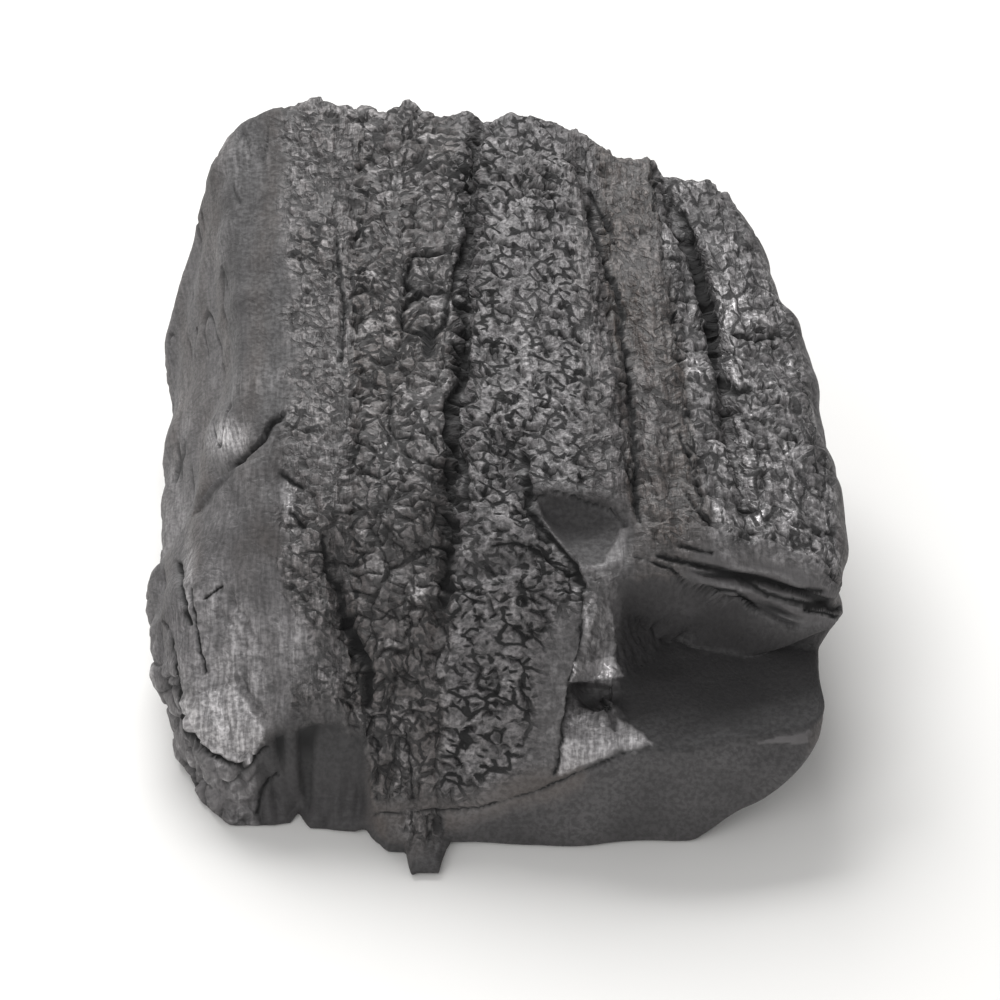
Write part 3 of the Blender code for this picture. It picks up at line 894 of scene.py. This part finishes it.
    def silver_wall(self, points: Array) -> Finding:
        """The silvery faces beside the shelf: small woven grains of split cell walls, painted lit and shaded.
        """
        x, y, z = points.T
        grains = Cells.around(rows(x + 0.7 * y, 0.8 * z, y) / 1.3, self.seed + 33)
        weave = self.noise(rows(x + y, 0.5 * z, y), 1.6, 34)
        gap = hump(grains.to_edge, 0.0, 0.15)
        # Where the wall is painted as lit it gets lustre and a pale highlight colour; beyond, painted shade.
        lit = fall(x, 17.5, 24.0) * (1.0 - 0.8 * hump(z, 29.5, 2.0) * rise(y, 6.5, 9.5))
        return {
            "height": 0.22 * weave + 0.25 * (grains.numbers[:, 0] - 0.5) - 0.15 * gap,
            # Painted shade in the gaps between the grains, where the wall is lit.
            "painted_shade": 0.5 * gap * lit,
            "sheen": lit * unit(0.30 + 0.4 * (grains.numbers[:, 1] - 0.5)),
            # Painted shade: the darker clean-break colour beyond the lit part.
            "smooth": 1.0 - lit,
            "checked": 0.4 * lit,
            "fibrous": 0.5 * lit,
        }

    def nodular_face(self, points: Array) -> Finding:
        """The rough foot: rounded nodules, each a cell that swells towards its middle, and pits between."""
        bent = points + 0.8 * rows(*(self.noise(points, 2.6, 40 + axis) for axis in range(3)))
        nodules = Cells.around(bent / 5.2, self.seed + 43)
        swell = 1.0 - unit(nodules.nearest) ** 2
        crack = hump(nodules.to_edge, 0.0, 0.11) * rise(self.noise(points, 6.0, 45), -0.4, 0.1)
        fuzz = fractal(points, 2.6, self.seed + 44, 2)
        return {
            "height": 1.4 * (swell - 0.7) + 0.9 * (nodules.numbers[:, 0] - 0.5) - 0.9 * crack + 0.24 * fuzz,
            # Painted shade in the cracks between the nodules.
            "painted_shade": 0.9 * crack,
            "sheen": 0.45 * rise(fuzz, 0.2, 0.7),
            "checked": 0.3,
            "fibrous": 0.3,
        }

    def end_face(self, points: Array) -> Finding:
        """A clean break across the grain: slow shell-like waves, and pores too fine for the mesh."""
        shell = self.noise(points, 13.0, 50)
        height = 0.35 * shell + 0.05 * self.noise(points, 2.5, 51)
        return {"height": height, "sheen": 0.05 + 0.05 * shell, "smooth": 1.0, "checked": 0.10}

    def torn_layers(self, points: Array) -> Finding:
        """The ledge's torn end: bands of fibre falling to the right, with gaps between them painted dark as
        shade.

        The bands are noise of the height plus a third of the way to the right, stretched along themselves.
        """
        x, y, z = points.T
        level = z + 0.33 * (x - 28.0)
        bands = self.noise(rows(0.06 * x, 0.2 * y, level), 2.6, 60)
        threads = self.noise(rows(0.12 * x, 0.3 * y, level), 1.1, 61)
        gap = rise(-bands - 0.3 * threads, 0.20, 0.42)
        return {
            "height": 0.9 * bands + 0.28 * threads - 1.0 * gap,
            # Painted shade in the gaps between the bands.
            "painted_shade": 0.95 * gap,
            "sheen": 0.2 * rise(threads, 0.1, 0.6),
            "smooth": 0.3,
            "fibrous": 0.2,
        }

    def torn_end(self, points: Array) -> Finding:
        """The far end: the ends of broken bundles of fibre, each at its own depth, with cracks between some.

        The bundles are cells, wider than high, and each one's surface is tilted at random.
        """
        x, _, z = points.T
        bent = rows(x, 1.5 * z) + 1.6 * rows(self.noise(points, 5.0, 65), self.noise(points, 5.0, 66))
        bundles = Cells.around(bent / 7.0, self.seed + 68)
        small = Cells.around(bent / 2.6, self.seed + 69)
        rough = fractal(points, 4.0, self.seed + 67, 3)
        crack = hump(bundles.to_edge, 0.0, 0.07) * rise(rough, -0.4, 0.3)
        height = 2.4 * (bundles.numbers[:, 0] - 0.5) + 2.2 * bundles.tilt()
        height = height + 0.7 * (small.numbers[:, 0] - 0.5) + 0.55 * rough
        return {
            "height": height - 0.9 * crack,
            # Painted shade in the cracks between the bundles.
            "painted_shade": unit(0.8 * crack + 0.3 * hump(small.to_edge, 0.0, 0.10)),
            "sheen": 0.35 * rise(rough + small.numbers[:, 1], 0.7, 1.3),
            "brown": 0.4 * rise(rough, 0.0, 0.5),
            "smooth": 0.2,
            "checked": 0.7,
            "fibrous": 0.1,
        }

    def hollow(self, points: Array) -> Finding:
        """The hollow at the near left: upright flutes that fan out, as a shell-like break leaves."""
        x, y, z = points.T
        fan = (x + 33.0) / (14.0 + 0.4 * z) * 14.0
        flutes = self.noise(rows(fan, 0.3 * y, 0.12 * z), 1.9, 75)
        gap = rise(-flutes, 0.25, 0.6)
        # Painted shade in the gaps between the flutes, and darker towards the top, under the lip.
        painted_shade = unit(0.05 + 0.55 * gap + 0.40 * rise(z, 9.0, 17.0))
        return {"height": 0.7 * flutes - 0.5 * gap, "painted_shade": painted_shade, "smooth": 0.9, "fibrous": 0.15}

    def drawn(self, points: Array, outwards: Array, relief: dict[str, Array]) -> None:
        """Add what is drawn as the eye sees it, on the faces that turn towards the eye."""
        x, y, z = points.T
        up = SINE * y + COSINE * z
        flat = rows(x, up)
        x = x + 0.35 * self.noise(flat, 2.2, 90) + 0.2 * self.noise(flat, 0.9, 91)
        facing = rise(outwards @ np.array([0.0, -COSINE, SINE]), 0.02, 0.2)
        uneven = 0.8 + 0.5 * self.noise(flat, 2.6, 92)
        cracks = deepest(x, up, self.seen.cracks) * facing * uneven
        folds = deepest(x, up, self.seen.folds) * facing
        # Cracks and folds are cut in, and painted dark as shade below.
        relief["height"] -= cracks + folds
        at_least(relief, "painted_shade", rise(cracks, 0.12, 0.5))
        at_least(relief, "painted_shade", 0.35 * rise(folds, 0.2, 0.7))
        # Painted highlights: the glints turn the colour towards pale silver, with lustre.
        for middle, height, half_width, half_height, strength in self.seen.glints:
            spot = strength * facing * hump(x, middle, half_width) * hump(up, height, half_height)
            at_least(relief, "sheen", spot * (1.0 - relief["painted_shade"]))
        # Chips above 0 are raised with lustre and painted highlight; below 0, sunk and painted dark as shade.
        for corners, silver in self.seen.facets:
            inside = inside_ring(x, up, corners, 0.6 if silver > 0.0 else 1.4) * facing
            if silver > 0.0:
                relief["height"] += 0.35 * inside
                relief["sheen"] *= 1.0 - inside
                at_least(relief, "sheen", silver * inside)
                relief["painted_shade"] *= 1.0 - 0.8 * inside
                relief["smooth"] *= 1.0 - inside
                at_least(relief, "fibrous", 0.4 * inside)
            else:
                relief["height"] += 1.3 * silver * inside
                relief["sheen"] *= 1.0 - inside
                at_least(relief, "painted_shade", -0.6 * silver * inside)
        # Painted shade: these spots are darkened and lose their lustre.
        for middle, height, half_width, half_height in self.seen.shade_spots:
            spot = facing * hump(x, middle, half_width) * hump(up, height, half_height)
            relief["sheen"] *= 1.0 - spot
            at_least(relief, "painted_shade", 0.18 * spot)

    def over_all(self, form: LumpForm, points: Array, outwards: Array) -> dict[str, Array]:
        """Blend the faces' reliefs by how much each place belongs to each face.

        Args:
            form: the lump, for the shares of its faces.
            points: the skin's points, in millimetres.
            outwards: unit directions out of the skin there.

        Returns:
            height in millimetres, and the masks from 0 to 1.
        """
        x, y, z = points.T
        share = form.shares(points)
        waver = self.noise(points, 7.0, 95)
        near_left = fall(x + 1.5 * waver, -46.0, -43.0)
        hollow = share[Face.FRONT] * fall(x, -25.0, -22.5) * (1.0 - near_left)
        tan_rim = share[Face.FRONT] * band(x, -22.0, 14.0, 3.0)
        tan_rim *= rise(z - form.top_height(x, np.zeros(len(x))) + 0.5 * waver, -3.0, -2.2)
        below_rim = fall(y + 0.5 * waver, 0.2, 1.8)
        share[Face.TOP] *= 1.0 - rise(x, 13.0, 18.0) * fall(z, 32.0, 36.0)
        ragged = 2.6 * waver + 1.6 * self.noise(points, 2.4, 96)
        smooth_side = fall(x + ragged + 0.05 * np.maximum(y - 60.0, 0.0), -40.5, -37.0)
        left = np.maximum(share[Face.LEFT], share[Face.TOP] * smooth_side)
        share[Face.TOP] *= 1.0 - smooth_side
        fluted = share[Face.FLUTED] * fall(x + 2.0 * waver, -36.0, -31.0)
        plain = largest(share[name] for name in (Face.FRONT, Face.CORNER, Face.LEAN, Face.SHELF, Face.CHIP))
        foot = largest((share[Face.FRONT] * near_left, 0.9 * share[Face.FOOT], share[Face.UNDER]))
        layers = (
            (self.top, share[Face.TOP] * (1.0 - fluted) * (1.0 - 0.9 * below_rim)),
            (self.split_face, largest((left, share[Face.SCOOP], share[Face.RIGHT]))),
            (self.fluted_face, fluted),
            (self.silver_wall, np.maximum(share[Face.WALL], share[Face.RAMP])),
            (self.nodular_face, foot),
            (self.torn_end, share[Face.BACK]),
            (self.torn_layers, share[Face.LEDGE]),
            (self.hollow, hollow),
            (self.end_face, plain * (1.0 - hollow) * (1.0 - near_left * share[Face.FRONT])),
        )
        total = sum(weight for _, weight in layers) + 1e-3
        relief = {name: np.zeros(len(x)) for name in ("height", *MASKS)}
        for describe, weight in layers:
            held = weight > 0.004
            for name, values in describe(points[held]).items():
                relief[name][held] += values * (weight / total)[held]
        valley = form.valley.opened(x, y) / form.valley.depth * rise(y, 5.0, 26.0)
        wide = np.maximum(valley, 0.8 * deepest(x, y, form.top_fissures) / 3.2) * share[Face.TOP]
        # Painted shade in the valley and the wide fissures of the top.
        relief["painted_shade"] = unit(relief["painted_shade"] + 0.75 * rise(wide, 0.3, 0.95))
        relief["height"] += valley * share[Face.TOP] * (0.9 * self.noise(points, 3.2, 97) + 0.3)
        # Painted shade on the shelf under the ledge, and on the spur and toes at the near end's foot.
        at_least(relief, "painted_shade", 0.5 * share[Face.SHELF])
        at_least(relief, "painted_shade", 0.4 * fall(y, -2.5, -0.8))
        relief["brown"] = unit(relief["brown"] + tan_rim)
        relief["smooth"] *= 1.0 - tan_rim
        self.drawn(points, outwards, relief)
        relief["height"] *= rise(z, 0.2, 1.6)
        return relief


def srgb(code: str) -> tuple[float, float, float, float]:
    """Turn a hex colour such as #3f3d3c into linear red, green, blue and full alpha."""
    parts = [int(code[place : place + 2], 16) / 255.0 for place in (1, 3, 5)]
    linear = [part / 12.92 if part <= 0.04045 else ((part + 0.055) / 1.055) ** 2.4 for part in parts]
    return (*linear, 1.0)


@dataclass(frozen=True)
class CharFinish:
    """Hardwood charcoal, burnt slowly and broken by hand.

    It is carbon with the wood's pores left in it: dark grey on burnt skin, and its cracks are painted
    nearly black as shade.
    Where a split runs along the cell walls they reflect together, with a silvery lustre like graphite's, and
    a pale silver colour paints highlights there too. Thin tar leaves some strips a little brown.

    Attributes:
        skin: the burnt skin and the checks.
        clean_break: smooth breaks, which show the dense black carbon; the same colour is painted shade on the
            unlit part of the wall beside the shelf and high on the left split.
        crack: painted shade: the colour of the bottoms of cracks and pits, and of gaps and recesses.
        silver: split faces with a silvery lustre, painted pale as highlights too.
        brown: strips that keep a brown tint.
        granule_mm: width of the finest crumbs of the skin.
        pit_mm: spacing of the pores and short cracks that are too fine for the mesh.
        fibre_mm: spacing of the fibres in the fine grain.
        granule_height: how far the crumbs stand out, in millimetres.
        fibre_height: how far the fibres stand out.
        slit_depth: depth of the pores and hair cracks.
        rough: roughness of the skin.
        rough_silver: roughness where it shines.
        rougher_break: how much rougher a clean break is than the skin.
        metal: share of metal-like reflection where it shines.
        bending: refractive index of the dense carbon.
    """

    skin: str = "#565354"
    clean_break: str = "#302e2f"
    crack: str = "#0e0d0e"
    silver: str = "#c4c1c2"
    brown: str = "#382e28"
    granule_mm: float = 0.85
    pit_mm: float = 2.4
    fibre_mm: float = 0.6
    granule_height: float = 0.30
    fibre_height: float = 0.34
    slit_depth: float = 0.25
    rough: float = 0.62
    rough_silver: float = 0.36
    rougher_break: float = 0.18
    metal: float = 0.5
    bending: float = 1.75


def add_node(
    tree: bpy.types.NodeTree,
    kind: str,
    *values: object,
    inputs: dict | None = None,
    output: str | int = 0,
    **settings: object,
) -> Socket | None:
    """Add a node with its settings and its inputs. An input that is another node's output is linked to it.

    Args:
        tree: the node tree.
        kind: the node's type, less the words ShaderNode.
        values: what the first inputs get, in their order.
        inputs: what other inputs get, by name or number.
        output: name or number of the output to give back.
        settings: attributes of the node to set.

    Returns:
        The node's chosen output, or None for a node that has none.
    """
    node = tree.nodes.new("ShaderNode" + kind)
    for name, value in settings.items():
        setattr(node, name, value)
    for name, value in (*enumerate(values), *(inputs or {}).items()):
        if isinstance(value, Socket):
            tree.links.new(value, node.inputs[name])
        else:
            node.inputs[name].default_value = value
    return node.outputs[output] if len(node.outputs) else None


@dataclass(frozen=True)
class CrackNet:
    """Hair cracks round small blocks: the borders of random cells, closed again where a slow noise is low.

    Attributes:
        mask: the mesh's mask that says where there are any.
        width: the blocks' width in millimetres.
        length: their length in millimetres.
        half_width: distance from the middle of a crack beside a block to its rim, in millimetres.
        slant: angle of the blocks' long side to the grain, in radians.
    """

    mask: str
    width: float
    length: float
    half_width: float
    slant: float

    def build(self, tree: bpy.types.NodeTree, grain: Socket) -> Socket:
        """Add its nodes, which read the places in grain. The output is 1 in the cracks and 0 between them."""
        node = partial(add_node, tree)
        slow = {"Vector": grain, "Scale": 1.1 / self.width, "Detail": 2.0}
        push = node("TexNoise", inputs=slow, output="Color")
        push = node("VectorMath", push, inputs={"Scale": 0.5 * self.width}, operation="SCALE")
        pushed = node("VectorMath", push, grain, operation="ADD")
        size = (self.width, self.length, self.length)
        blocks = {"Vector": pushed, "Rotation": (0.0, 0.0, self.slant), "Scale": size}
        sized = node("Mapping", inputs=blocks, vector_type="TEXTURE")
        cells = {"Vector": sized, "Scale": 1.0, "Randomness": 1.0}
        border = node("TexVoronoi", inputs=cells, feature="DISTANCE_TO_EDGE")
        rim = self.half_width / self.width
        hair = node("MapRange", border, 0.5 * rim, rim, 1.0, 0.0)
        shut = node("TexNoise", inputs={"Vector": grain, "Scale": 0.7 / self.width, "Detail": 1.0})
        return node("Math", hair, node("MapRange", shut, 0.44, 0.50), operation="MULTIPLY")


@dataclass(frozen=True)
class CharMaterial:
    """Builds the charcoal's material from its finish and the mesh's own attributes.

    Attributes:
        finish: its colours and the sizes of its patterns.
        nets: the nets of hair cracks: long blocks, and smaller ones that lie aslant.
        slit: how much the pores' slits are narrowed along their three directions.
    """

    finish: CharFinish = field(default_factory=CharFinish)
    nets: tuple[CrackNet, ...] = (
        CrackNet("blocky", 3.0, 6.6, 0.30, 0.0),
        CrackNet("checked", 2.5, 3.9, 0.36, 0.7),
    )
    slit: tuple[float, float, float] = (1.0, 2.6, 1.4)

    def build(self) -> bpy.types.Material:
        """Make the material: fine patterns, then colour, roughness and bump from them and the masks."""
        material = bpy.data.materials.new("charcoal_burnt_hardwood")
        material.use_nodes = True
        material.node_tree.nodes.clear()
        node = partial(add_node, material.node_tree)
        finish = self.finish
        mask = {name: node("Attribute", output="Fac", attribute_name=name) for name in MASKS}
        # Places across and along the grain, in millimetres, which the mesh carries.
        grain = node("Attribute", output="Vector", attribute_name="grain")

        # Crumbs of the burnt skin, from about 0.8 mm down: they break the light up into small points.
        crumbs = {"Vector": grain, "Scale": 1.0 / finish.granule_mm, "Detail": 2.0, "Roughness": 0.55}
        granules = node("TexNoise", inputs=crumbs)
        # Fibres: the same noise drawn out ten times along the grain.
        drawn_out = node("Mapping", inputs={"Vector": grain, "Scale": (1.0, 0.10, 0.8)})
        threads = {"Vector": drawn_out, "Scale": 1.0 / finish.fibre_mm, "Detail": 2.0, "Roughness": 0.6}
        fibres = node("TexNoise", inputs=threads)
        # Pores: in each random cell one short slit, turned at random round the cell's middle.
        middle = node("TexVoronoi", inputs={"Vector": grain, "Scale": 1.0 / finish.pit_mm}, output="Position")
        chance = node("SeparateColor", middle.node.outputs["Color"])
        away = node("VectorMath", grain, middle, operation="SUBTRACT")
        angle = node("Math", chance, 3.4, operation="MULTIPLY")
        turned = node("VectorRotate", inputs={"Vector": away, "Angle": angle}, rotation_type="Z_AXIS")
        shape = node("VectorMath", turned, self.slit, operation="MULTIPLY")
        reach = node("VectorMath", shape, output="Value", operation="LENGTH")
        slit = node("MapRange", reach, 0.45, 1.10, 1.0, 0.0, interpolation_type="SMOOTHSTEP")
        slit = node("Math", slit, mask["checked"], operation="MULTIPLY")
        # Nets of hair cracks, each where its mask has them.
        for net in self.nets:
            cracks = node("Math", net.build(material.node_tree, grain), mask[net.mask], operation="MULTIPLY")
            slit = node("Math", slit, cracks, operation="MAXIMUM")
        # Slow clouds of tint over the whole lump, some centimetres across.
        clouds = node("TexNoise", inputs={"Vector": grain, "Scale": 1.0 / 18.0, "Detail": 3.0})

        # Colour: skin or clean break, then tint, then pale silver for lustre and painted highlights,
        # then tone that varies with the crumbs and fibres, then painted shade in the cracks.
        colour = {"output": 2, "data_type": "RGBA"}
        ends = {6: srgb(finish.skin), 7: srgb(finish.clean_break)}
        tone = node("Mix", mask["smooth"], inputs=ends, **colour)
        tint = node("MapRange", clouds, 0.35, 0.65, 0.4, 1.0)
        tint = node("Math", tint, mask["brown"], operation="MULTIPLY")
        tone = node("Mix", tint, inputs={6: tone, 7: srgb(finish.brown)}, **colour)
        streaky = node("Mix", mask["fibrous"], inputs={2: granules, 3: fibres})
        # Painted highlight as well as lustre: where this share is high the colour turns towards pale silver.
        lustre_and_glint = node("MapRange", streaky, 0.38, 0.58, 0.45, 1.0)
        lustre_and_glint = node("Math", lustre_and_glint, mask["sheen"], operation="MULTIPLY")
        tone = node("Mix", lustre_and_glint, inputs={6: tone, 7: srgb(finish.silver)}, **colour)
        for pattern, strength in ((granules, mask["checked"]), (fibres, mask["fibrous"])):
            light = node("MapRange", pattern, 0.38, 0.62, 0.55, 1.6)
            tone = node("Mix", strength, inputs={6: tone, 7: light}, blend_type="MULTIPLY", **colour)
        # Painted shade: pores, hair cracks and the mesh's cracks, gaps and recesses turn towards near black.
        dark = node("Math", slit, mask["painted_shade"], operation="MAXIMUM")
        tone = node("Mix", dark, inputs={6: tone, 7: srgb(finish.crack)}, **colour)

        # Roughness: less where it shines, more on clean breaks, varied by the crumbs, and 1 in the cracks.
        worn = node("MapRange", granules, 0.35, 0.65, 0.10, -0.08)
        rough = node("MapRange", lustre_and_glint, 0.0, 1.0, finish.rough, finish.rough_silver)
        rough = node("Math", rough, worn, operation="ADD")
        rough = node("Math", mask["smooth"], finish.rougher_break, rough, operation="MULTIPLY_ADD")
        rough = node("Math", rough, dark, operation="MAXIMUM")

        # Bump, as a height in millimetres: crumbs, fibres, and the slits' depth.
        high = node("Math", mask["checked"], finish.granule_height, 0.05, operation="MULTIPLY_ADD")
        height = node("Math", granules, high, operation="MULTIPLY")
        high = node("Math", mask["fibrous"], finish.fibre_height, operation="MULTIPLY")
        height = node("Math", fibres, high, height, operation="MULTIPLY_ADD")
        height = node("Math", slit, -finish.slit_depth, height, operation="MULTIPLY_ADD")
        bump = node("Bump", inputs={"Strength": 1.0, "Distance": MM, "Height": height})

        metal = node("Math", lustre_and_glint, finish.metal, operation="MULTIPLY")
        skin = {"Base Color": tone, "Roughness": rough, "Metallic": metal, "IOR": finish.bending}
        node("OutputMaterial", node("BsdfPrincipled", inputs=skin | {"Normal": bump}))
        return material


@dataclass
class CharcoalLump:
    """The whole lump, one burnt piece of split wood.

    Attributes:
        form: its outer form.
        relief: the relief in its faces.
        lattice: the grid that its skin is worked out on.
        finder: how the grid is slid onto the skin.
        triangles: how many triangles its finished mesh may have.
    """

    form: LumpForm = field(default_factory=LumpForm)
    relief: BurntRelief = field(default_factory=BurntRelief)
    lattice: Lattice = field(default_factory=Lattice)
    finder: SkinFinder = field(default_factory=SkinFinder)
    triangles: int = 192000

    def mesh(self) -> bpy.types.Mesh:
        """The skin on the fine grid, pushed out or in by its relief, with the relief's masks as attributes.

        The attribute "grain" holds places across and along the grain, and a height that hardly counts near
        the front, so fibres run down the steep slope there.
        """
        shares, quads = self.lattice.build()
        skin = self.finder.skin(self.form, shares)
        LOG.info("skin: %d points", len(skin))
        outwards = self.directions(skin, quads)
        relief = self.relief.over_all(self.form, skin, outwards)
        shaped = skin + outwards * relief["height"][:, None]
        shaped[:, 2] = np.where(skin[:, 2] < 0.06, 0.0, np.maximum(shaped[:, 2], 0.0))
        low, high = (np.array(corner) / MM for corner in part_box("charcoal_lump"))
        move = (low + high) / 2.0 - (skin.min(axis=0) + skin.max(axis=0)) / 2.0
        shaped[:, :2] += move[:2]
        mesh = bpy.data.meshes.new("charcoal_lump_burnt")
        mesh.from_pydata(shaped * MM, [], quads)
        for name in MASKS:
            data = mesh.attributes.new(name, "FLOAT", "POINT").data
            data.foreach_set("value", relief[name].astype(np.float32))
        x, y, z = skin.T
        level = np.maximum(rise(y, 25.0, 50.0), rise(np.abs(x), 57.0, 64.0))
        height = 0.15 * z + 0.85 * level * (z - self.form.height + 9.0)
        grain = rows(self.relief.strips(skin)[:, 0], y + 0.8 * z, height).astype(np.float32)
        mesh.attributes.new("grain", "FLOAT_VECTOR", "POINT").data.foreach_set("vector", grain.ravel())
        mesh.shade_smooth()
        return mesh

    @staticmethod
    def directions(skin: Array, quads: Array) -> Array:
        """Unit directions out of the skin: each point's sum of its faces' diagonal cross products."""
        cross = np.cross(skin[quads[:, 2]] - skin[quads[:, 0]], skin[quads[:, 3]] - skin[quads[:, 1]])
        total = rows(*(np.bincount(quads.ravel(), np.repeat(part, 4), len(skin)) for part in cross.T))
        return total / np.maximum(np.linalg.norm(total, axis=1), 1e-9)[:, None]

    def build(self) -> bpy.types.Object:
        """Make the lump's object, thin its mesh where it is smooth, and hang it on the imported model."""
        mesh = self.mesh()
        lump = bpy.data.objects.new("charcoal_lump_burnt", mesh)
        bpy.context.scene.collection.objects.link(lump)
        thin = lump.modifiers.new("thin", "DECIMATE")
        thin.ratio = self.triangles / (2 * len(mesh.polygons))
        thin.use_collapse_triangulate = True
        mesh.materials.append(CharMaterial().build())
        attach(lump, "root")
        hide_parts("charcoal_lump")
        return lump


@dataclass(frozen=True)
class Softbox:
    """A square studio light.

    Attributes:
        name: what it lights.
        place: where it stands, in metres from the lump.
        aim: the point it faces.
        side: its width.
        watts: its power.
    """

    name: str
    place: tuple[float, float, float]
    aim: tuple[float, float, float]
    side: float
    watts: float

    def build(self) -> bpy.types.Object:
        """Make the light and turn it to its aim."""
        light = bpy.data.lights.new(self.name, "AREA")
        light.shape, light.size, light.energy = "SQUARE", self.side, self.watts
        holder = bpy.data.objects.new(self.name, light)
        holder.location = self.place
        holder.rotation_euler = (Vector(self.aim) - holder.location).to_track_quat("-Z", "Y").to_euler()
        bpy.context.scene.collection.objects.link(holder)
        return holder


@dataclass(frozen=True)
class BoardFinish:
    """Matt white paint, rolled on a smooth board.

    Attributes:
        paint: its colour.
        roughness: how matt it is.
    """

    paint: str = "#f4f3f1"
    roughness: float = 0.75


@dataclass(frozen=True)
class Studio:
    """A white table under soft light, and a camera that looks down at the lump as the photograph's does.

    Attributes:
        elevation: how far above the table's level the camera stands, in degrees.
        distance: camera to lump, in metres.
        frame_width: what the picture takes in at the lump, in metres.
        look: the picture's middle, in metres across and up the picture from the near end's foot.
        near_face: how far in front of the lump's middle that foot lies.
        table_half: the table's half width, in metres.
        table_near: how far in front of the lump it starts.
        table_flat: how far it runs level.
        table_bend: radius of the bend at its back.
        room_light: strength of the even light from all round.
        board: the table's paint.
        lights: the two softboxes.
    """

    elevation: float = 41.0
    distance: float = 1.15
    frame_width: float = 0.184
    look: tuple[float, float] = (0.001, 0.0635)
    near_face: float = 0.069
    table_half: float = 3.0
    table_near: float = 2.4
    table_flat: float = 4.6
    table_bend: float = 0.8
    room_light: float = 0.42
    board: BoardFinish = field(default_factory=BoardFinish)
    lights: tuple[Softbox, ...] = (
        Softbox("key_over_the_back", (-0.24, 0.72, 0.88), (0.0, 0.0, 0.03), 0.75, 13.8),
        Softbox("fill_from_the_front", (-0.45, -1.0, 0.9), (0.0, 0.0, 0.03), 0.9, 5.8),
    )

    def table(self) -> bpy.types.Object:
        """A white painted board, wider than the picture: a grid whose back bends up as a quarter circle."""
        width, flat, radius = self.table_half, self.table_flat, self.table_bend
        across, along = np.meshgrid(np.linspace(-width, width, 25), np.linspace(0.0, 1.0, 49), indexing="ij")
        way = along * (flat + radius * np.pi / 2.0)
        turn = np.clip((way - flat) / radius, 0.0, np.pi / 2.0)
        y = -self.table_near + np.minimum(way, flat) + radius * np.sin(turn)
        z = radius * (1.0 - np.cos(turn))
        grid = np.arange(across.size).reshape(across.shape)
        mesh = bpy.data.meshes.new("white_table")
        mesh.from_pydata(rows(across.ravel(), y.ravel(), z.ravel()), [], faces_between(grid))
        mesh.shade_smooth()
        material = bpy.data.materials.new("matt_white_board")
        material.use_nodes = True
        shader = material.node_tree.nodes["Principled BSDF"]
        shader.inputs["Base Color"].default_value = srgb(self.board.paint)
        shader.inputs["Roughness"].default_value = self.board.roughness
        mesh.materials.append(material)
        table = bpy.data.objects.new("white_table", mesh)
        bpy.context.scene.collection.objects.link(table)
        return table

    def world(self) -> None:
        """Even white light from all round."""
        world = bpy.data.worlds.new("white_room")
        world.use_nodes = True
        background = world.node_tree.nodes["Background"]
        background.inputs["Color"].default_value = srgb("#ffffff")
        background.inputs["Strength"].default_value = self.room_light
        bpy.context.scene.world = world
        bpy.context.scene.view_settings.view_transform = "Standard"

    def camera(self) -> bpy.types.Object:
        """A long lens at the photograph's height, turned down to the lump."""
        tilt = math.radians(self.elevation)
        up = Vector((0.0, math.sin(tilt), math.cos(tilt)))
        towards = Vector((0.0, -math.cos(tilt), math.sin(tilt)))
        aim = Vector((self.look[0], -self.near_face, 0.0)) + up * self.look[1]
        data = bpy.data.cameras.new("camera")
        data.lens = data.sensor_width * self.distance / self.frame_width
        camera = bpy.data.objects.new("camera", data)
        camera.location = aim + towards * self.distance
        camera.rotation_euler = (-towards).to_track_quat("-Z", "Y").to_euler()
        bpy.context.scene.collection.objects.link(camera)
        bpy.context.scene.camera = camera
        return camera

    def build(self) -> None:
        """Set up the table, the light and the camera."""
        self.table()
        self.world()
        self.camera()
        for light in self.lights:
            light.build()


def main() -> None:
    """Build the lump and the studio."""
    logging.basicConfig(level=logging.INFO, format="%(name)s %(message)s")
    lump = CharcoalLump().build()
    LOG.info("lump: %s, %d faces before thinning", lump.name, len(lump.data.polygons))
    Studio().build()
    LOG.info("studio built")


if __name__ == "__main__":
    main()
